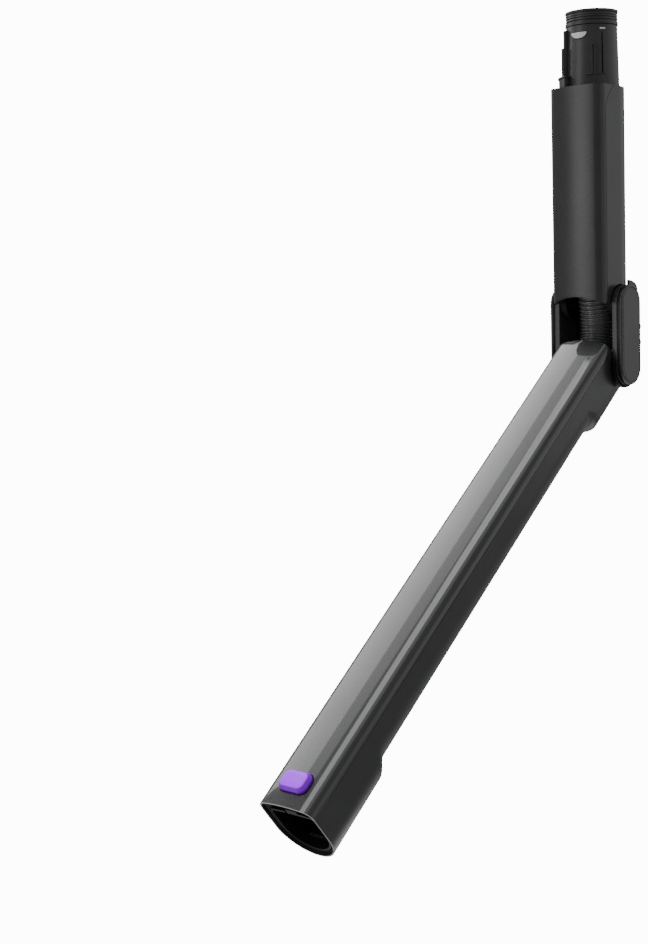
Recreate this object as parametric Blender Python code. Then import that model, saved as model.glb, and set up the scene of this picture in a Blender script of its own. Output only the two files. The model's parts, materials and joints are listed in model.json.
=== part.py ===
"""Folding wand of a cordless stick vacuum: two tubes, a double-pivot joint, a hose and two couplings.

World frame, in metres: the origin is on the neck's axis at the neck's tip, +Z runs up along the upper
wand, -Y is the front and X is the width. The wand is modelled as it is used under furniture, with the
lower wand bent forward about the joint's lower pivot.
"""
import math

import bmesh
import bpy
from mathutils import Matrix, Vector

# --- driving dimensions, metres and degrees -------------------------------------------------------
# tube section, shared by both wands
TUBE_WIDTH = 0.0472           # side to side; the back is a half circle of this diameter
FRONT_REACH = 0.0044          # of the front face's crown beyond the tube's half width
FRONT_CROWN = 0.0007          # how far the front face bulges between its corners
CORNER_RADIUS = 0.0080
SHELL_WALL = 0.0020
SEAM_SETBACK = 0.0003         # from the end of the front's corner to the seam behind it
GAP = 0.0003                  # clearance between pieces that seat on each other

# lengths along the wand
SHOULDER_DROP = 0.0575        # neck tip to the top of the upper tube
UPPER_PIVOT_DROP = 0.2215     # neck tip to the upper pivot
PIVOT_SPACING = 0.0495        # upper pivot to lower pivot
LOWER_LENGTH = 0.4485         # lower pivot to the open end
REST_BEND = 51.0              # bend of the lower wand as modelled
UPPER_BACK_SHIFT = 0.0010     # centre of the back's half circle, behind the pivot line
MAIN_BACK_SHIFT = -0.0070     # the same on the slim run of the lower wand
LEVER_BACK_SHIFT = 0.0010     # the same around the fold lever
COLLAR_BACK_SHIFT = 0.0020    # the same at the bottom collar
LEVER_HOUSING_PAST = 0.0020   # how far the housing runs past the fold lever
LEVER_HOUSING_FADE = 0.0100
COLLAR_LENGTH = 0.0725        # open end to the start of the bottom collar
COLLAR_FADE = 0.0120
UPPER_ARCH = 0.0060           # rise of the upper tube's lower edge at the front
LOWER_ARCH = 0.0030           # rise of the lower tube's upper edge at the front
EDGE_MARGIN = 0.0042          # from the hubs' notches to the first full section of a tube
SHOULDER_THICKNESS = 0.0027
BULKHEAD_LIFT = 0.0060        # from the upper duct's lower end up to the bulkhead
BULKHEAD_THICKNESS = 0.0020

# ducts and hose
DUCT_SIDE_ROOM = 0.0046       # between a duct and the inside of the shell
DUCT_WALL = 0.0016
DUCT_BACK_ROOM = 0.0010       # behind the lower duct, on the slim run
LOWER_DUCT_START = 0.0240
DUCT_LINER_ROOM = 0.0025      # between the lower duct and the socket's liner
UPPER_DUCT_CLEAR = 0.0175     # from the upper duct's lower end to the upper pivot
DUCT_NECK_ROOM = 0.0005
HOSE_BORE_ROOM = 0.0004       # between the hose and the bore of the ducts
HOSE_WALL = 0.0020
HOSE_BOW = 0.0030             # how far the hose bows to the back between the pivots
HOSE_PULL = 1.25              # how straight the hose leaves each duct, in shares of its span
HOSE_SPLIT = 0.42             # share of the hose that bends about the upper pivot
HOSE_SPLIT_GAP = 0.002        # half the share left open between its two lengths
CUFF_LENGTH = 0.0080
CUFF_WALL = 0.0012
CUFF_SETBACK = 0.0005         # between the upper cuff and the bulkhead

# neck
NECK_INSET = 0.0044           # from the tube's side in to the neck's
NECK_FLARE = 0.0008
NECK_WALL = 0.0032
NECK_SEAT = 0.0045            # how far the neck reaches into the upper tube
SEAL_PROUD = 0.0008           # of the seal's ribs beyond the neck
SEAL_GROOVE = 0.0012          # depth of the groove that the seal sits in
SEAL_RIB_DEPTH = 0.0007
SEAL_HEIGHT = 0.0112
SEAL_RIBS = 4
SEAL_SEAT = 0.0004            # how far the spigot's top stands above the seal
GUIDE_ANGLE = 36.0            # of each guide rail, from the front
RAIL_WIDTH = 0.0032
SEAL_CLEAR = 0.0028           # from the seal down to the rails and the latch window
RAIL_STEP_HEIGHT = 0.0302     # of the rails' outer step, above the shoulder
FOOT_HEIGHT = 0.0092
RAIL_INNER_PROUD = 0.0033     # of the rail's tall step beyond the neck
RAIL_OUTER_PROUD = 0.0050
FOOT_PROUD = 0.0070
FOOT_ROOT_GAP = 0.0006
FOOT_WIDTH = 0.0110
WINDOW_HEIGHT = 0.0060
WINDOW_WIDTH = 0.0150
WINDOW_THICKNESS = 0.0005
WINDOW_TIP_SHARE = 0.08       # height of the crescent's tips, as a share of its middle
TERMINAL_WIDTH = 0.0130
TERMINAL_HEIGHT = 0.0100
TERMINAL_DEPTH = 0.0030
TERMINAL_PIN_PITCH = 0.0042
TERMINAL_PIN_RADIUS = 0.0012
TERMINAL_PIN_LENGTH = 0.0030

# joint links
LINK_RADIUS = 0.0136
ARM_THICKNESS = 0.0044
CAP_THICKNESS = 0.0042
CAP_ROUND = 0.0012
HUB_RADIUS = 0.0126
HUB_CLEARANCE = 0.0012
HUB_DEPTH = 0.0054
PIN_RADIUS = 0.0032
PIN_LENGTH = 0.0048
PIN_CLEARANCE = 0.0004
SCREW_RADIUS = 0.0022
SCREW_HEIGHT = 0.0012
SCREW_PITCH = 0.0120
TAB_REACH = 0.0059            # of the arms' rear tabs, behind the links' edge
TAB_SLOPE = 0.0040
TAB_MARGIN = 0.0100           # from each pivot's level to the tab
GUARD_BACK_ROOM = 0.0060      # from the tube's half width to the rear guard's back
GUARD_WALL = 0.0020
GUARD_CORNER = 0.0060
GUARD_RISE = 0.0175           # of the guard's top above the upper pivot
GUARD_LOWER_ROOM = 0.0095     # from the guard's bottom to the lower pivot
GUARD_ROUND = 0.0110          # radius of the guard's top and bottom corners, seen from the side

# fold lever and lock
LEVER_WIDTH = 0.0150
LEVER_START = 0.0100
LEVER_LENGTH = 0.0360
LEVER_THICKNESS = 0.0024
LEVER_GAP = 0.0006
LEVER_SINK = 0.0003           # of the lever's face below the tube's back
FINGER_HOLE = 0.0050          # open length below the lever
LEVER_PIN_RADIUS = 0.0010
BOLT_WIDTH = 0.0060
BOLT_DEPTH = 0.0020
BOLT_REACH = 0.0110           # of the bolt's tip beyond the lower pivot
BOLT_TRAVEL = 0.0040          # room for the bolt to draw back towards the lever

# release button and bottom coupling
BUTTON_END_DISTANCE = 0.0185  # open end to the button's middle
BUTTON_WIDTH = 0.0230
BUTTON_LENGTH = 0.0158
BUTTON_CORNER = 0.0056
BUTTON_PROUD = 0.0036
BUTTON_THICKNESS = 0.0050
BUTTON_GAP = 0.0005
BUTTON_EDGE = 0.0009          # width of the button's eased edges
SPRING_RADIUS = 0.0032
SPRING_WIRE = 0.0005
SPRING_TURNS = 3
LINER_LENGTH = 0.0480         # open end to the top of the socket's liner
LINER_WALL = 0.0016
LINER_SIDE_INSET = 0.0036
LINER_FRONT_INSET = 0.0100
RIM_THICKNESS = 0.0018
PAWL_WIDTH = 0.0100
PAWL_LENGTH = 0.0044
PAWL_HEIGHT = 0.0044
PAWL_GAP = 0.0005
PAWL_ROOT = 0.0012            # of the pawl in front of the liner
PAWL_RIM_GAP = 0.0006         # between the pawl and the liner's end
CONTACT_WIDTH = 0.0150
CONTACT_LENGTH = 0.0120
CONTACT_HEIGHT = 0.0040
CONTACT_PITCH = 0.0048
CONTACT_RADIUS = 0.0011
CONTACT_PIN_LENGTH = 0.0030
CONTACT_SETBACK = 0.0060      # from the rim to the contact block
CONTACT_SEAT = 0.0012         # room for the curve of the liner under the block

# cutters
CUT_IN = 0.0060               # how far a cutter reaches in through a wall
CUT_OUT = 0.0080              # and how far it stands out of it
SLOT_DEPTH = 0.0040           # of the pawl's slot to both sides of the liner's front
SLOT_OVERRUN = 0.0010

# mesh fineness
CORNER_STEPS = 5
BACK_STEPS = 22
ROUND_STEPS = 32

# --- derived places ---------------------------------------------------------------------------------
HALF_WIDTH = TUBE_WIDTH / 2
FRONT_DEPTH = HALF_WIDTH + FRONT_REACH
SEAM_DEPTH = FRONT_DEPTH - FRONT_CROWN - CORNER_RADIUS - SEAM_SETBACK
LEVER_HOUSING_END = LEVER_START + LEVER_LENGTH + LEVER_HOUSING_PAST
COLLAR_START = LOWER_LENGTH - COLLAR_LENGTH
BUTTON_ALONG = LOWER_LENGTH - BUTTON_END_DISTANCE
LINER_START = LOWER_LENGTH - LINER_LENGTH
UPPER_DUCT_DROP = UPPER_PIVOT_DROP - UPPER_DUCT_CLEAR
LOWER_DUCT_END = LINER_START - DUCT_LINER_ROOM
DUCT_RADIUS = HALF_WIDTH - SHELL_WALL - DUCT_SIDE_ROOM
LOWER_DUCT_SHIFT = MAIN_BACK_SHIFT + DUCT_SIDE_ROOM - DUCT_BACK_ROOM
NECK_RADIUS = HALF_WIDTH - NECK_INSET
NECK_ROOT = NECK_RADIUS + NECK_FLARE + GAP
NECK_BORE = NECK_RADIUS - NECK_WALL
RAIL_TOP_DROP = SEAL_HEIGHT + SEAL_CLEAR
RAIL_STEP_DROP = SHOULDER_DROP - RAIL_STEP_HEIGHT
RAIL_FOOT_DROP = SHOULDER_DROP - FOOT_HEIGHT
TAB_DEPTH = LINK_RADIUS + TAB_REACH
GUARD_DEPTH = HALF_WIDTH + GUARD_BACK_ROOM
GUARD_FALL = PIVOT_SPACING - GUARD_LOWER_ROOM
HUB_REACH = HUB_RADIUS + HUB_CLEARANCE
EDGE_ROOM = HUB_REACH + EDGE_MARGIN
UPPER_PIVOT = Vector((0, 0, -UPPER_PIVOT_DROP))
LOWER_PIVOT = Vector((0, 0, -UPPER_PIVOT_DROP - PIVOT_SPACING))
LINK_INNER = HALF_WIDTH + GAP
LINK_OUTER = LINK_INNER + ARM_THICKNESS
CAP_INNER = LINK_OUTER + GAP
HUB_OUTER = HALF_WIDTH - GAP / 2
HUB_INNER = HUB_OUTER - HUB_DEPTH
HOSE_RADIUS = DUCT_RADIUS - DUCT_WALL - HOSE_BORE_ROOM
BEND = math.radians(REST_BEND)
# maps the lower wand's own axes to the world: x stays, y points to its back, z points up its length
LOWER_FRAME = Matrix.Translation(LOWER_PIVOT) @ Matrix.Rotation(-BEND, 4, "X")
UPPER_FRAME = Matrix.Identity(4)

# colour, roughness, metallic
FINISHES = {
    "shell_satin": ((0.040, 0.041, 0.043), 0.42, 0.0),
    "front_metallic": ((0.085, 0.087, 0.092), 0.30, 0.45),
    "neck_plastic": ((0.050, 0.051, 0.053), 0.48, 0.0),
    "joint_plastic": ((0.060, 0.061, 0.064), 0.45, 0.0),
    "inner_black": ((0.012, 0.012, 0.013), 0.55, 0.0),
    "hose_rubber": ((0.016, 0.016, 0.017), 0.50, 0.0),
    "button_violet": ((0.300, 0.060, 0.800), 0.22, 0.0),
    "seal_rubber": ((0.030, 0.030, 0.032), 0.60, 0.0),
    "steel": ((0.600, 0.600, 0.620), 0.30, 1.0),
    "window_clear": ((0.550, 0.560, 0.570), 0.25, 0.0),
}


# --- helpers ----------------------------------------------------------------------------------------
def clear_scene():
    for item in list(bpy.data.objects):
        bpy.data.objects.remove(item, do_unlink=True)


def finish_of(name):
    """The named Principled material, made once."""
    material = bpy.data.materials.get(name)
    if material is None:
        colour, roughness, metallic = FINISHES[name]
        material = bpy.data.materials.new(name)
        material.use_nodes = True
        shader = material.node_tree.nodes["Principled BSDF"]
        shader.inputs["Base Color"].default_value = (*colour, 1.0)
        shader.inputs["Roughness"].default_value = roughness
        shader.inputs["Metallic"].default_value = metallic
    return material


def add_object(name, shape, finish, frame=UPPER_FRAME, pivot=None):
    """Turn a bmesh, drawn in the given frame, into an object; pivot sets its origin in that frame."""
    origin = Vector(pivot) if pivot is not None else Vector((0, 0, 0))
    bmesh.ops.translate(shape, verts=shape.verts, vec=-origin)
    bmesh.ops.recalc_face_normals(shape, faces=shape.faces)
    mesh = bpy.data.meshes.new(name)
    shape.to_mesh(mesh)
    shape.free()
    item = bpy.data.objects.new(name, mesh)
    bpy.context.scene.collection.objects.link(item)
    item.matrix_world = frame @ Matrix.Translation(origin)
    mesh.materials.append(finish_of(finish))
    return item


def arc(centre, radius, start, end, steps):
    """Points on an arc, from one angle to the other in degrees, both ends included."""
    points = []
    for step in range(steps + 1):
        angle = math.radians(start + (end - start) * step / steps)
        points.append((centre[0] + radius * math.cos(angle), centre[1] + radius * math.sin(angle)))
    return points


def front_run(inset):
    """The section's front, from the left seam over the front face to the right seam."""
    radius = CORNER_RADIUS - inset
    side = HALF_WIDTH - inset
    corner_x = HALF_WIDTH - CORNER_RADIUS
    corner_y = -FRONT_DEPTH + FRONT_CROWN + CORNER_RADIUS
    left = arc((-corner_x, corner_y), radius, 180, 270, CORNER_STEPS)
    right = [(-x, y) for x, y in reversed(left)]
    crown_steps = 6
    crown = []
    for step in range(1, crown_steps):
        share = 2 * step / crown_steps - 1
        crown.append((share * corner_x, -FRONT_DEPTH + inset + FRONT_CROWN * share * share))
    return [(-side, -SEAM_DEPTH)] + left + crown + right + [(side, -SEAM_DEPTH)]


def rear_run(inset, back_shift):
    """The section's sides and back, from the right seam round to the left seam."""
    side = HALF_WIDTH - inset
    start_y = -SEAM_DEPTH + GAP
    straight_steps = 5
    right = []
    for step in range(straight_steps):
        right.append((side, start_y + (back_shift - start_y) * step / straight_steps))
    left = [(-x, y) for x, y in reversed(right)]
    return right + arc((0, back_shift), side, 0, 180, BACK_STEPS) + left


def closed_outline(inset, back_shift, front_inset=None):
    """The whole section as one loop; front_inset sets the front's depth by itself."""
    front_drop = (front_inset if front_inset is not None else inset) - inset
    front = [(x, y + front_drop) for x, y in front_run(inset)[1:-1]]
    side = HALF_WIDTH - inset
    corner_end = front[-1][1]
    steps = 4
    right = [(side, corner_end + (back_shift - corner_end) * step / steps) for step in range(1, steps)]
    left = [(-x, y) for x, y in reversed(right)]
    return front + right + arc((0, back_shift), side, 0, 180, BACK_STEPS) + left


def smooth_share(value, start, length):
    share = min(1.0, max(0.0, (value - start) / length))
    return share * share * (3 - 2 * share)


def lower_back_shift(along):
    """Centre of the lower wand's back, which is deeper at the lever housing and at the collar."""
    fade_in = smooth_share(along, LEVER_HOUSING_END, LEVER_HOUSING_FADE)
    shift = LEVER_BACK_SHIFT + (MAIN_BACK_SHIFT - LEVER_BACK_SHIFT) * fade_in
    return shift + (COLLAR_BACK_SHIFT - MAIN_BACK_SHIFT) * smooth_share(along, COLLAR_START, COLLAR_FADE)


def skin_rings(shape, rings, cap):
    """Join rings of vertices into a skin; cap closes the first and the last ring."""
    for lower, upper in zip(rings, rings[1:]):
        count = len(lower)
        for index in range(count):
            after = (index + 1) % count
            shape.faces.new((lower[index], lower[after], upper[after], upper[index]))
    if cap:
        shape.faces.new(rings[0])
        shape.faces.new(list(reversed(rings[-1])))


def wall_panel(section, stations, edges=(None, None), wall=SHELL_WALL):
    """A curved panel of even wall: section(along, inset) is an open run, drawn at each station.

    edges are functions (x, y) -> along for its first and last edge; None keeps the station's own.
    """
    shape = bmesh.new()
    rings = []
    for number, station in enumerate(stations):
        edge = edges[0] if number == 0 else edges[1] if number == len(stations) - 1 else None
        loops = []
        for inset in (0.0, wall):
            loop = []
            for x, y in section(station, inset):
                along = edge(x, y) if edge else station
                loop.append(shape.verts.new((x, y, -along)))
            loops.append(loop)
        rings.append(loops)
    count = len(rings[0][0])
    for first, second in zip(rings, rings[1:]):
        for index in range(count - 1):
            shape.faces.new((first[0][index], first[0][index + 1], second[0][index + 1], second[0][index]))
            shape.faces.new((first[1][index], second[1][index], second[1][index + 1], first[1][index + 1]))
        for index in (0, count - 1):
            shape.faces.new((first[0][index], second[0][index], second[1][index], first[1][index]))
    for outer, inner in (rings[0], rings[-1]):
        for index in range(count - 1):
            shape.faces.new((outer[index], outer[index + 1], inner[index + 1], inner[index]))
    return shape


def evenly(start, end, count):
    """Places from start to end, both included, in equal steps."""
    return [start + (end - start) * step / count for step in range(count + 1)]


def outline_prism(outline, start, end):
    """A solid between two places along the wand, with the outline as its section."""
    shape = bmesh.new()
    rings = []
    for along in (start, end):
        rings.append([shape.verts.new((x, y, -along)) for x, y in outline])
    skin_rings(shape, rings, cap=True)
    return shape


def outline_tube(outer, inner, start, end):
    """A tube between two places along the wand; outer and inner have the same number of points."""
    shape = bmesh.new()
    loops = []
    for outline, along in ((outer, start), (outer, end), (inner, end), (inner, start)):
        loops.append([shape.verts.new((x, y, -along)) for x, y in outline])
    skin_rings(shape, loops + loops[:1], cap=False)
    return shape


def round_outline(radius, centre=(0.0, 0.0), steps=ROUND_STEPS):
    return arc(centre, radius, 0, 360, steps)[:-1]


def revolved(profile, steps=ROUND_STEPS, centre=(0.0, 0.0)):
    """A ring or tube: the closed profile of (radius, along) points turned about the wand's axis."""
    shape = bmesh.new()
    rings = []
    for radius, along in profile:
        ring = []
        for x, y in round_outline(radius, centre, steps):
            ring.append(shape.verts.new((x, y, -along)))
        rings.append(ring)
    skin_rings(shape, rings + rings[:1], cap=False)
    return shape


def disc_along_x(radius, x_start, x_end, y, z, steps=24, bore=0.0):
    """A disc, or a washer when bore is above zero, lying across the wand."""
    shape = bmesh.new()
    rings = []
    places = [(radius, x_start), (radius, x_end)]
    if bore > 0:
        places += [(bore, x_end), (bore, x_start)]
    for size, x in places:
        ring = [shape.verts.new((x, y + dy, z + dz)) for dy, dz in round_outline(size, steps=steps)]
        rings.append(ring)
    if bore > 0:
        skin_rings(shape, rings + rings[:1], cap=False)
    else:
        skin_rings(shape, rings, cap=True)
    return shape


def stadium(radius, spacing, inset=0.0, steps=14):
    """Outline of a link in (y, z): two half circles about the two pivots."""
    size = radius - inset
    top = arc((0, 0), size, 0, 180, steps)
    bottom = arc((0, -spacing), size, 180, 360, steps)
    return top + bottom


def rounded_box(width, length, corner, y_front, y_back, along, steps=4):
    """A pad with rounded corners, seen from the front, between two depths."""
    outline = []
    for sign_x, sign_z, start in ((1, 1, 0), (-1, 1, 90), (-1, -1, 180), (1, -1, 270)):
        centre = (sign_x * (width / 2 - corner), -along + sign_z * (length / 2 - corner))
        outline += arc(centre, corner, start, start + 90, steps)
    shape = bmesh.new()
    rings = [[shape.verts.new((x, y, z)) for x, z in outline] for y in (y_front, y_back)]
    skin_rings(shape, rings, cap=True)
    return shape


def block(x_range, y_range, along_range):
    outline = [(x_range[0], y_range[0]), (x_range[1], y_range[0]), (x_range[1], y_range[1])]
    outline.append((x_range[0], y_range[1]))
    return outline_prism(outline, *along_range)


def cut_away(target, name, shape, frame=UPPER_FRAME):
    """Cut the shape out of the target with a Boolean modifier and keep the cutter as a hidden guide."""
    cutter = add_object(name, shape, "inner_black", frame)
    cutter.hide_render = True
    cutter.display_type = "WIRE"
    modifier = target.modifiers.new(name, "BOOLEAN")
    modifier.operation = "DIFFERENCE"
    modifier.object = cutter


# --- upper wand -------------------------------------------------------------------------------------
def hub_arc_rise(y):
    """Height of the round notch that the shells leave for a hub, at a depth y."""
    return math.sqrt(max(0.0, HUB_REACH * HUB_REACH - y * y))


def upper_edge(x, y):
    """Lower edge of the upper tube: arched at the front and notched round the hubs."""
    if y < -HUB_REACH:
        return UPPER_PIVOT_DROP - UPPER_ARCH * (1 - (x / HALF_WIDTH) ** 2) - GAP
    return UPPER_PIVOT_DROP - hub_arc_rise(y) - GAP


def make_upper_wand():
    top = SHOULDER_DROP
    stations = evenly(top, UPPER_PIVOT_DROP - EDGE_ROOM, 4) + [UPPER_PIVOT_DROP]
    rear = wall_panel(lambda along, inset: rear_run(inset, UPPER_BACK_SHIFT), stations, (None, upper_edge))
    add_object("upper_rear_shell", rear, "shell_satin")
    front = wall_panel(lambda along, inset: front_run(inset), stations, (None, upper_edge))
    add_object("upper_front_cover", front, "shell_satin")

    inset = SHELL_WALL + GAP
    outer = closed_outline(inset, UPPER_BACK_SHIFT)
    neck_hole = fit_circle(outer, NECK_ROOT)
    plate = outline_tube(outer, neck_hole, top + GAP, top + GAP + SHOULDER_THICKNESS)
    add_object("shoulder_plate", plate, "shell_satin")

    start, bottom = top + NECK_SEAT + DUCT_NECK_ROOM, UPPER_DUCT_DROP
    duct = [(DUCT_RADIUS, start), (DUCT_RADIUS, bottom)]
    duct += [(DUCT_RADIUS - DUCT_WALL, bottom), (DUCT_RADIUS - DUCT_WALL, start)]
    add_object("upper_duct", revolved(duct), "inner_black")

    inner = fit_circle(outer, DUCT_RADIUS + GAP)
    lift = bottom - BULKHEAD_LIFT
    add_object("joint_bulkhead", outline_tube(outer, inner, lift, lift + BULKHEAD_THICKNESS), "inner_black")
    for side, sign in (("left", -1), ("right", 1)):
        make_hub(f"upper_hub_{side}", sign, UPPER_PIVOT, UPPER_FRAME)


def fit_circle(outline, radius):
    """A circle with one point for each point of the outline, facing the same way."""
    points = []
    for x, y in outline:
        length = math.hypot(x, y)
        points.append((x / length * radius, y / length * radius))
    return points


def make_hub(name, sign, pivot, frame):
    """The tube's bearing for one pivot pin, a round boss in the shell's side."""
    place = frame.inverted() @ pivot
    bore = PIN_RADIUS + PIN_CLEARANCE
    shape = disc_along_x(HUB_RADIUS, sign * HUB_INNER, sign * HUB_OUTER, place.y, place.z, 28, bore)
    add_object(name, shape, "inner_black", frame, place)


# --- neck -------------------------------------------------------------------------------------------
def make_neck():
    bottom = SHOULDER_DROP + NECK_SEAT
    seat = NECK_RADIUS - SEAL_GROOVE
    profile = [(seat, 0.0), (seat, SEAL_HEIGHT + GAP), (NECK_RADIUS, SEAL_HEIGHT + GAP)]
    profile += [(NECK_RADIUS + NECK_FLARE, bottom), (NECK_BORE, bottom), (NECK_BORE, 0.0)]
    add_object("neck_spigot", revolved(profile), "neck_plastic")

    profile = [(seat + GAP, SEAL_HEIGHT)]
    profile.append((seat + GAP, SEAL_SEAT))
    rib = (SEAL_HEIGHT - SEAL_SEAT) / (2 * SEAL_RIBS - 1)
    crest = NECK_RADIUS + SEAL_PROUD
    root = crest - SEAL_RIB_DEPTH
    for number in range(SEAL_RIBS):
        start = SEAL_SEAT + 2 * number * rib
        profile += [(crest, start), (crest, start + rib)]
        if number < SEAL_RIBS - 1:
            profile += [(root, start + rib), (root, start + 2 * rib)]
    add_object("neck_seal_ring", revolved(profile), "seal_rubber")

    for side, sign in (("left", -1), ("right", 1)):
        make_guide(side, Matrix.Rotation(math.radians(sign * GUIDE_ANGLE), 4, "Z"))
    make_latch_window()
    make_terminals()


def make_guide(side, turn):
    """A stepped rail and its foot on one front corner of the neck, drawn at the front and turned."""
    inner, outer = NECK_RADIUS + RAIL_INNER_PROUD, NECK_RADIUS + RAIL_OUTER_PROUD
    steps = [(NECK_ROOT, RAIL_TOP_DROP), (inner, RAIL_TOP_DROP), (inner, RAIL_STEP_DROP)]
    steps += [(outer, RAIL_STEP_DROP), (outer, RAIL_FOOT_DROP), (NECK_ROOT, RAIL_FOOT_DROP)]
    shape = bmesh.new()
    rings = []
    for x in (-RAIL_WIDTH / 2, RAIL_WIDTH / 2):
        rings.append([shape.verts.new((x, -reach, -drop)) for reach, drop in steps])
    skin_rings(shape, rings, cap=True)
    add_object(f"guide_rail_{side}", shape, "neck_plastic", turn)
    half = FOOT_WIDTH / 2
    foot = block((-half, half), (-NECK_RADIUS - FOOT_PROUD, -NECK_ROOT - FOOT_ROOT_GAP),
                 (RAIL_FOOT_DROP + GAP, SHOULDER_DROP - GAP))
    add_object(f"guide_foot_{side}", foot, "neck_plastic", turn)


def make_latch_window():
    """The pale catch plate behind the crescent on the neck's front: a curved tab on its surface."""
    half_angle = math.degrees(WINDOW_WIDTH / 2 / NECK_RADIUS)
    inner, outer = NECK_ROOT, NECK_ROOT + WINDOW_THICKNESS
    shape = bmesh.new()
    rings = []
    steps = 8
    for number in range(steps + 1):
        share = 2 * number / steps - 1
        angle = math.radians(-90 + half_angle * share)
        swell = math.sqrt(max(0.0, 1 - share * share))
        height = WINDOW_HEIGHT * (WINDOW_TIP_SHARE + (1 - WINDOW_TIP_SHARE) * swell)
        ring = []
        for radius, along in ((inner, 0), (outer, 0), (outer, height), (inner, height)):
            point = (radius * math.cos(angle), radius * math.sin(angle), -RAIL_TOP_DROP - along)
            ring.append(shape.verts.new(point))
        rings.append(ring)
    skin_rings(shape, rings, cap=True)
    add_object("latch_plate", shape, "window_clear")


def make_terminals():
    """The block behind the neck and its terminal pins, which mate with the hand unit."""
    half = TERMINAL_WIDTH / 2
    top = SHOULDER_DROP - GAP - TERMINAL_HEIGHT
    shape = block((-half, half), (NECK_ROOT, NECK_ROOT + TERMINAL_DEPTH), (top, SHOULDER_DROP - GAP))
    add_object("terminal_block", shape, "inner_black")
    for number in range(3):
        x = (number - 1) * TERMINAL_PIN_PITCH
        pin = outline_prism(round_outline(TERMINAL_PIN_RADIUS, (x, NECK_ROOT + TERMINAL_DEPTH / 2), 12),
                            top - GAP - TERMINAL_PIN_LENGTH, top - GAP)
        add_object(f"terminal_pin_{number + 1}", pin, "steel")


# --- links and hose ---------------------------------------------------------------------------------
def arm_outline():
    """The arm in (y, z): the link's stadium with a tab at the back that carries the rear guard."""
    outline = []
    for y, z in stadium(LINK_RADIUS, PIVOT_SPACING):
        if y > 0 and -PIVOT_SPACING < z < 0:
            continue
        outline.append((y, z))
    lower_right = outline.index(max(outline[len(outline) // 2:])) + 1
    tab = [(LINK_RADIUS, -PIVOT_SPACING + TAB_MARGIN), (TAB_DEPTH, -PIVOT_SPACING + TAB_MARGIN + TAB_SLOPE)]
    tab += [(TAB_DEPTH, -TAB_MARGIN - TAB_SLOPE), (LINK_RADIUS, -TAB_MARGIN)]
    return outline[:lower_right] + tab + outline[lower_right:]


def link_plate(sign, x_start, x_end, outlines, rounding=0.0):
    """A plate across one side of the joint; outlines(shrink) gives its shape, rounding eases its face."""
    shape = bmesh.new()
    places = [(0.0, x_start), (0.0, x_end - rounding)]
    if rounding > 0:
        for angle in (30, 60, 90):
            turn = math.radians(angle)
            places.append((rounding * (1 - math.cos(turn)), x_end - rounding * (1 - math.sin(turn))))
    rings = []
    for shrink, x in places:
        rings.append([shape.verts.new((sign * x, y, z - UPPER_PIVOT_DROP)) for y, z in outlines(shrink)])
    skin_rings(shape, rings, cap=True)
    return shape


def make_links():
    for side, sign in (("left", -1), ("right", 1)):
        arm = link_plate(sign, LINK_INNER, LINK_OUTER, lambda shrink: arm_outline())
        add_object(f"link_arm_{side}", arm, "joint_plastic", pivot=UPPER_PIVOT)
        cap = link_plate(sign, CAP_INNER, CAP_INNER + CAP_THICKNESS,
                         lambda shrink: stadium(LINK_RADIUS, PIVOT_SPACING, shrink), CAP_ROUND)
        add_object(f"link_cap_{side}", cap, "joint_plastic", pivot=UPPER_PIVOT)
        for level, pivot in (("upper", UPPER_PIVOT), ("lower", LOWER_PIVOT)):
            pin = disc_along_x(PIN_RADIUS, sign * (LINK_INNER - GAP), sign * (LINK_INNER - GAP - PIN_LENGTH),
                               0, pivot.z, 24)
            add_object(f"{level}_pin_{side}", pin, "steel", pivot=pivot)
    make_guard()
    for number in range(4):
        sign = -1 if number < 2 else 1
        head_z = UPPER_PIVOT.z - PIVOT_SPACING / 2 + (SCREW_PITCH / 2 if number % 2 else -SCREW_PITCH / 2)
        head_y = (LINK_RADIUS + TAB_DEPTH) / 2
        seat = LINK_OUTER + GAP
        screw = disc_along_x(SCREW_RADIUS, sign * seat, sign * (seat + SCREW_HEIGHT), head_y, head_z, 16)
        add_object(f"guard_screw_{number + 1}", screw, "steel")


def guard_run(inset):
    """The guard's section: a U open to the front, from the right side round the back to the left."""
    side = HALF_WIDTH - inset
    corner = GUARD_CORNER - inset
    centre_x = HALF_WIDTH - GUARD_CORNER
    centre_y = GUARD_DEPTH - GUARD_CORNER
    start_y = HUB_RADIUS + 3 * GAP
    side_steps = 4
    right = []
    for step in range(side_steps):
        right.append((side, start_y + (centre_y - start_y) * step / side_steps))
    right += arc((centre_x, centre_y), corner, 0, 90, CORNER_STEPS)
    return right + [(-x, y) for x, y in reversed(right)]


def guard_edge_round(y):
    """How far the guard's top and bottom edges draw in towards its back, as a quarter circle."""
    inward = max(0.0, y - (GUARD_DEPTH - GUARD_ROUND))
    return GUARD_ROUND - math.sqrt(max(0.0, GUARD_ROUND ** 2 - inward * inward)) if inward > 0 else 0.0


def make_guard():
    """The U-shaped cover across the back of the joint that ties the two link arms together."""
    top = UPPER_PIVOT_DROP - GUARD_RISE
    bottom = UPPER_PIVOT_DROP + GUARD_FALL
    middle = (top + bottom) / 2
    edges = (lambda x, y: top + guard_edge_round(y), lambda x, y: bottom - guard_edge_round(y) / 2)
    shape = wall_panel(lambda along, inset: guard_run(inset), [top, middle, bottom], edges, GUARD_WALL)
    add_object("rear_guard", shape, "joint_plastic", pivot=UPPER_PIVOT)


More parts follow.
